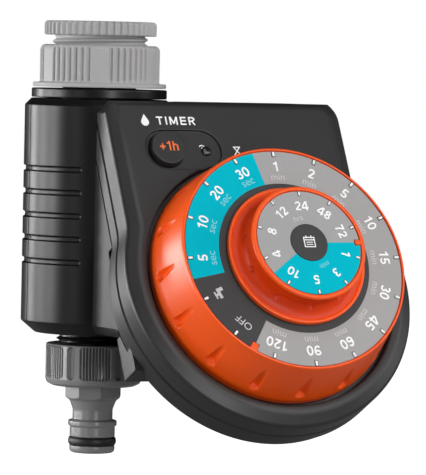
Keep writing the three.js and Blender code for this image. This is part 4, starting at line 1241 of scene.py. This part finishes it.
def stroke(points, width, closed=False):
    """Line drawn with a round pen, as one thin solid standing on w = 0."""
    following = points[1:] + points[:1] if closed else points[1:]
    ends = list(zip(points, following))
    parts = []
    for start, end in ends:
        length = math.dist(start, end)
        lean = math.degrees(math.atan2(end[1] - start[1], end[0] - start[0]))
        bar = spun(block((0, -width / 2, 0), (length, width / 2, PRINT)), lean)
        parts.append(moved(bar, *start))
        parts.append(moved(disc(width / 2, 0, PRINT, 16), *start))
    parts.append(moved(disc(width / 2, 0, PRINT, 16), *ends[-1][1]))
    return join(parts[0], *parts[1:])


def ribbon(path, width, closed=False):
    """Line of even width along a flat path, as one thin solid standing on w = 0."""
    points = np.array(path, float)
    if closed:
        along = np.roll(points, -1, 0) - np.roll(points, 1, 0)
    else:
        along = np.gradient(points, axis=0)
    along /= np.linalg.norm(along, axis=1)[:, None]
    side = np.stack([-along[:, 1], along[:, 0]], 1) * width / 2
    rows = []
    left, right = points + side, points - side
    for flat, level in ((left, 0), (left, PRINT), (right, PRINT), (right, 0)):
        rows.append(np.column_stack([flat, np.full(len(flat), level)]))
    corners = np.stack(rows, 1).reshape(-1, 3)
    faces = grid_faces(len(points), 4, closed)
    if not closed:
        last = 4 * (len(points) - 1)
        faces += [[0, 1, 2, 3], [last, last + 1, last + 2, last + 3]]
    return closed_mesh(corners, faces)


def line(*points):
    return list(points), False


def loop(points):
    return points[:-1], True


def glyph(character, pen):
    """Centre lines of an upright character one unit tall, as (path, closed), and its width."""
    foot, top = pen / 2, 1 - pen / 2
    stem = line((0.08, 0), (0.08, 1))
    drawn = {
        "0": ([loop(bow(0.28, 0.5, 0.205, top - 0.5, 0, 360, 32))], 0.56),
        "1": ([line((0.07, 0.765), (0.19, 0.785), (0.29, 0.9)), line((0.33, 0), (0.33, 1))], 0.5),
        "2": (
            [
                line(*bow(0.28, 0.7, 0.19, top - 0.7, 172, -38), (0.11, foot + 0.03)),
                line((0.05, foot), (0.52, foot)),
            ],
            0.56,
        ),
        "3": (
            [
                line(*bow(0.265, 0.72, 0.17, top - 0.72, 158, -90)),
                line(*bow(0.265, 0.2925, 0.195, 0.2925 - foot, 90, -158)),
            ],
            0.54,
        ),
        "4": (
            [
                line((0.44, 0), (0.44, 1)),
                line((0.38, 0.97), (0.04, 0.36)),
                line((0, 0.27), (0.6, 0.27)),
            ],
            0.6,
        ),
        "5": (
            [
                line((0.12, top), (0.5, top)),
                line((0.155, top), (0.11, 0.45)),
                line(*bow(0.275, 0.3, 0.2, 0.3 - foot, 142, -160)),
            ],
            0.55,
        ),
        "6": (
            [
                loop(bow(0.285, 0.285, 0.195, 0.285 - foot, 0, 360, 28)),
                line((0.09, 0.285), *bow(0.3, 0.5, 0.21, top - 0.5, 180, 42)),
            ],
            0.56,
        ),
        "7": ([line((0.04, top), (0.53, top)), line((0.48, top), (0.3, 0.5), (0.22, 0))], 0.55),
        "8": (
            [
                loop(bow(0.28, 0.735, 0.165, top - 0.735, 0, 360, 24)),
                loop(bow(0.28, 0.2875, 0.2, 0.2875 - foot, 0, 360, 28)),
            ],
            0.56,
        ),
        "+": ([line((0, 0.42), (0.54, 0.42)), line((0.27, 0.09), (0.27, 0.75))], 0.54),
        "h": ([stem, line((0.08, 0.42), *bow(0.27, 0.46, 0.19, 0.2, 170, 0), (0.46, 0))], 0.54),
        "T": ([line((0, top), (0.62, top)), line((0.31, 0), (0.31, top))], 0.62),
        "I": ([stem], 0.16),
        "M": (
            [
                stem,
                line((0.72, 0), (0.72, 1)),
                line((0.1, 0.96), (0.4, 0.14)),
                line((0.7, 0.96), (0.4, 0.14)),
            ],
            0.8,
        ),
        "E": ([stem, *[line((0.08, y), (0.58, y)) for y in (foot, 0.51, top)]], 0.58),
        "R": (
            [
                stem,
                line(
                    (0.08, top),
                    (0.36, top),
                    *bow(0.36, 0.73, 0.2, top - 0.73, 80, -80, 12),
                    (0.36, 0.46),
                    (0.08, 0.46),
                ),
                line((0.34, 0.46), (0.58, 0)),
            ],
            0.64,
        ),
    }
    return drawn[character]


def figures(words, height, pen=0.17, gap=0.09, stretch=1.24):
    """Characters drawn with an even pen, centred on the origin, as a thin solid standing on w = 0."""
    parts = []
    reach = 0.0
    for character in words:
        turned_over = character == "9"
        strokes, width = glyph("6" if turned_over else character, pen)
        for path, closed in strokes:
            if turned_over:
                path = [(width - x, 1 - y) for x, y in path]
            shifted = [((reach + x * stretch) * height, (y - 0.5) * height) for x, y in path]
            parts.append(ribbon(shifted, pen * height, closed))
        reach += width * stretch + gap
    return moved(join(parts[0], *parts[1:]), -(reach - gap) / 2 * height)


def duration_marks():
    level = BIG["label"]
    numbers = ["1", "2", "5", "10", "15", "30", "45", "60", "90", "120"]
    marks = [round_dial(figures(number, 3.6), 22.5 * i, 33.9, level) for i, number in enumerate(numbers)]
    for i, number in enumerate(["5", "10", "20", "30"]):
        marks.append(round_dial(figures(number, 3.6), 270 + 22.5 * i, 33.9, level))
    for i in range(16):
        marks.append(tick(22.5 * i, 37.7, 39.35, 0.8, level, level + 0.3))
    return marks


def tick_shadows(count, inner, outer, width, level):
    """Dark patches in a label under the raised ticks, painted shadow round each tick."""
    turn = 360 / count
    return merged([tick(turn * i, inner, outer, width, level, level + PRINT) for i in range(count)])


def tap_mark():
    """Garden tap: pipe, spout and handle."""
    bars = [(-2.2, 0.9, -0.5, 0.6), (0.2, 1.5, -1.9, 0.6), (-0.9, -0.1, 0.4, 1.6), (-1.8, 0.8, 1.3, 1.9)]
    return join(*[prism(rectangle(*bar), 0, PRINT) for bar in bars])


def build_duration_print():
    level = BIG["label"]
    body = "duration_dial"
    # dark patches round the ticks are painted shadow
    printed("duration_painted_tick_shadow", tick_shadows(16, 37.45, 39.45, 1.35, level), RUBBER_AND_PAINTED_SHADOW, body)
    printed("duration_print", merged(duration_marks()), PRINT_WHITE, body)
    grey = [round_dial(lettering("min", 2.3), 22.5 * i, 30.0, level) for i in range(10)]
    grey.append(round_dial(lettering("OFF", 2.6), 225, 33.4, level))
    grey.append(round_dial(tap_mark(), 247.5, 33.0, level))
    printed("duration_print_grey", merged(grey), PRINT_GREY, body)
    seconds = [round_dial(lettering("sec", 1.9), 270 + 22.5 * i, 30.0, level) for i in range(4)]
    printed("duration_print_cyan", merged(seconds), PRINT_CYAN, body)


def build_frequency_print():
    level = SMALL_LEVEL
    body = "frequency_dial"
    marks = []
    for i, number in enumerate(["24", "48", "72", "1", "3", "5", "10", "4", "8", "12"]):
        marks.append(round_dial(figures(number, 3.25), 36 * i, 13.5, level))
        marks.append(tick(36 * i, 17.25, 18.65, 0.65, level, level + 0.25))
    # dark patches round the ticks are painted shadow
    printed("frequency_painted_tick_shadow", tick_shadows(10, 17.05, 18.75, 1.1, level), RUBBER_AND_PAINTED_SHADOW, body)
    printed("frequency_print", merged(marks), PRINT_WHITE, body)
    printed("frequency_print_grey", round_dial(lettering("hrs", 2.0), -14, 9.2, level), PRINT_GREY, body)
    printed("frequency_print_cyan", round_dial(lettering("min", 1.7), 154, 9.2, level), PRINT_CYAN, body)


def cap_mark():
    """Calendar sheet with a header and two rows."""
    frame_line = stroke([(-1.9, -1.7), (1.9, -1.7), (1.9, 1.7), (-1.9, 1.7)], 0.36, True)
    header = stroke([(-1.9, 0.8), (1.9, 0.8)], 0.36)
    rows = [stroke([(-1.1, y), (1.1, y)], 0.3) for y in (-0.05, -0.85)]
    rings = [stroke([(x, 1.5), (x, 2.3)], 0.34) for x in (-0.9, 0.9)]
    return join(frame_line, header, *rows, *rings)


def build_cap_print():
    printed("dial_cap_print", moved(cap_mark(), 0, 0, 31.0), PRINT_WHITE, "frequency_dial")


def drop_mark(r):
    """Solid water drop: a round foot drawn up to a point."""
    return prism([*arc(0, 0, r, 150, 390, 20), (0, r * 2.1)], 0, PRINT)


def hourglass_mark():
    return stroke([(-1.15, 1.5), (1.15, 1.5), (-1.15, -1.5), (1.15, -1.5)], 0.4, True)


def signal_mark():
    """A short wave over a bar."""
    wave = stroke(arc(0, -0.6, 1.1, 140, 40, 6), 0.36)
    bar = stroke([(0, -1.15), (0, -0.35)], 0.4)
    return merged([wave, bar])


def build_panel_print():
    marks = [
        moved(drop_mark(1.45), -35.8, 59.6, 0),
        moved(figures("TIMER", 3.1, 0.18, 0.3), -24.2, 60.2, 0),
        moved(hourglass_mark(), -3.2, 48.9, 0),
        moved(signal_mark(), -15.8, 50.9, -PILL["depth"]),
    ]
    printed("panel_print", merged(marks), PRINT_WHITE, "control_unit")
    hour = moved(figures("+1h", 3.5, 0.16, 0.08, 1.15), BUTTON["u"], BUTTON["v"] + 0.4, BUTTON["top"] - 0.06)
    printed("button_print", hour, PRINT_ORANGE, "manual_button", "orange")


# ---------- Pieces kept from the CAD ----------
KEPT = [
    (RUBBER_AND_PAINTED_SHADOW, "diaphragm inlet_washer hose_connector_washer case_seal"),
    (RUBBER_AND_PAINTED_SHADOW, "duration_shaft_seal frequency_shaft_seal"),
    (BLACK, "valve_bonnet valve_contact_plug microcontroller button_switch contact_socket"),
    (BLACK, "duration_contact_wheel frequency_contact_wheel"),
    (STEEL, "bonnet_screw_1 bonnet_screw_2 bonnet_screw_3 bonnet_screw_4 solenoid_plunger plunger_spring"),
    (STEEL, "capacitor frequency_shaft shaft_clip"),
    (COPPER, "solenoid_coil battery_contacts"),
    (MID_GREY, "inlet_filter"),
    (BOARD, "circuit_board"),
    (LED_LENS, "led"),
    (BATTERY_SLEEVE, "battery_9v"),
]


def finish_kept_pieces():
    for material, names in KEPT:
        for name in names.split():
            mesh = frame["nodes"][name].data
            mesh.materials.clear()
            mesh.materials.append(material)


# ---------- Floor, light and camera ----------
def pale_floor():
    """Plain pale floor, pure white to the camera and clear from below."""
    material = finish("pale_floor", (165, 165, 165), 0.9, grain=0.01, relief=0.0)
    tree = material.node_tree
    shader = tree.nodes["Principled BSDF"]
    shader.inputs["Emission Color"].default_value = (1, 1, 1, 1)
    path = added(tree, "LightPath")
    side = added(tree, "NewGeometry")
    clear = added(tree, "BsdfTransparent")
    choice = added(tree, "MixShader")
    wired(
        tree,
        (path, "Is Camera Ray", shader, "Emission Strength"),
        (side, "Backfacing", choice, "Fac"),
        (shader, "BSDF", choice, 1),
        (clear, "BSDF", choice, 2),
        (choice, "Shader", tree.nodes["Material Output"], "Surface"),
    )
    mesh = bpy.data.meshes.new("floor")
    reach = 6.0
    corners = [(-reach, -reach, 0), (reach, -reach, 0), (reach, reach, 0), (-reach, reach, 0)]
    mesh.from_pydata(corners, [], [(0, 1, 2, 3)])
    mesh.materials.append(material)
    floor = bpy.data.objects.new("floor", mesh)
    floor.location.z = CAD_BOUNDS[0].z - 0.06
    bpy.context.scene.collection.objects.link(floor)


def studio_air():
    """White background for the camera, dim even light for everything else."""
    world = bpy.data.worlds.new("studio")
    world.use_nodes = True
    tree = world.node_tree
    back = tree.nodes["Background"]
    back.inputs["Color"].default_value = (1, 1, 1, 1)
    path = added(tree, "LightPath")
    level = added(tree, "MapRange", To_Min=0.01, To_Max=1.0)
    wired(tree, (path, "Is Camera Ray", level, "Value"), (level, "Result", back, "Strength"))
    bpy.context.scene.world = world


LIGHT_DISTANCE = 1.2
LIGHTS = [  # name, azimuth (0 in front, 90 on the right), elevation, width, height, watts
    ("left_rear", -142, 0, 0.25, 0.5, 6.6),
    ("left_middle", -118, 0, 0.25, 0.5, 6.4),
    ("left_side", -98, 0, 0.25, 0.5, 6.8),
    ("left_front", -60, 5, 0.3, 0.5, 0.9),
    ("front_strip", -4, 5, 0.06, 0.6, 4.8),
    ("right_front", 28, 25, 0.4, 0.5, 3.2),
    ("right_side", 62, 18, 0.4, 0.5, 2.6),
    ("front_top", 2, 35, 0.4, 0.4, 2.2),
    ("top", 0, 62, 0.5, 0.5, 2.2),
]


def studio_lights():
    """Rectangular soft lights that face the object's middle."""
    low, high = CAD_BOUNDS
    for name, azimuth, elevation, width, height, power in LIGHTS:
        a = math.radians(azimuth)
        e = math.radians(elevation)
        away = Vector((math.sin(a) * math.cos(e), -math.cos(a) * math.cos(e), math.sin(e)))
        data = bpy.data.lights.new(name, "AREA")
        data.shape = "RECTANGLE"
        data.size = width
        data.size_y = height
        data.energy = power
        lamp = bpy.data.objects.new(name, data)
        lamp.location = (low + high) / 2 + away * LIGHT_DISTANCE
        lamp.rotation_mode = "QUATERNION"
        lamp.rotation_quaternion = away.to_track_quat("Z", "Y")
        bpy.context.scene.collection.objects.link(lamp)


CAMERA_PLACE = (-0.57977, -1.21144, 0.13759)
CAMERA_TURN = (25.388, 2.592, 1.285)  # heading, downward pitch and roll in degrees
CAMERA_LENS = 296.6


def photo_camera():
    heading, pitch, roll = (math.radians(value) for value in CAMERA_TURN)
    ahead = math.cos(pitch)
    look = Vector((math.sin(heading) * ahead, math.cos(heading) * ahead, -math.sin(pitch)))
    level = look.cross(Vector((0, 0, 1))).normalized()
    right = level * math.cos(roll) + level.cross(look) * math.sin(roll)
    turn = Matrix((right, right.cross(look), -look)).transposed().to_4x4()
    data = bpy.data.cameras.new("photo")
    data.lens = CAMERA_LENS
    data.sensor_width = 36
    data.clip_start = 0.05
    data.clip_end = 50
    camera = bpy.data.objects.new("photo", data)
    camera.matrix_world = Matrix.Translation(CAMERA_PLACE) @ turn
    bpy.context.scene.collection.objects.link(camera)
    bpy.context.scene.camera = camera


def build_timer():
    build_housing()
    build_housing_screws()
    build_valve_body()
    build_inlet_nut()
    build_tap_adapter()
    build_hose_connector()
    build_front_cover()
    build_rear_shell()
    build_case_screws()
    build_battery_door()
    build_button_and_window()
    build_duration_dial()
    build_duration_label()
    build_frequency_dial()
    build_frequency_label()
    build_duration_print()
    build_frequency_print()
    build_cap_print()
    build_panel_print()
    finish_kept_pieces()


build_timer()
pale_floor()
studio_air()
studio_lights()
photo_camera()
bpy.context.scene.view_settings.view_transform = "Standard"
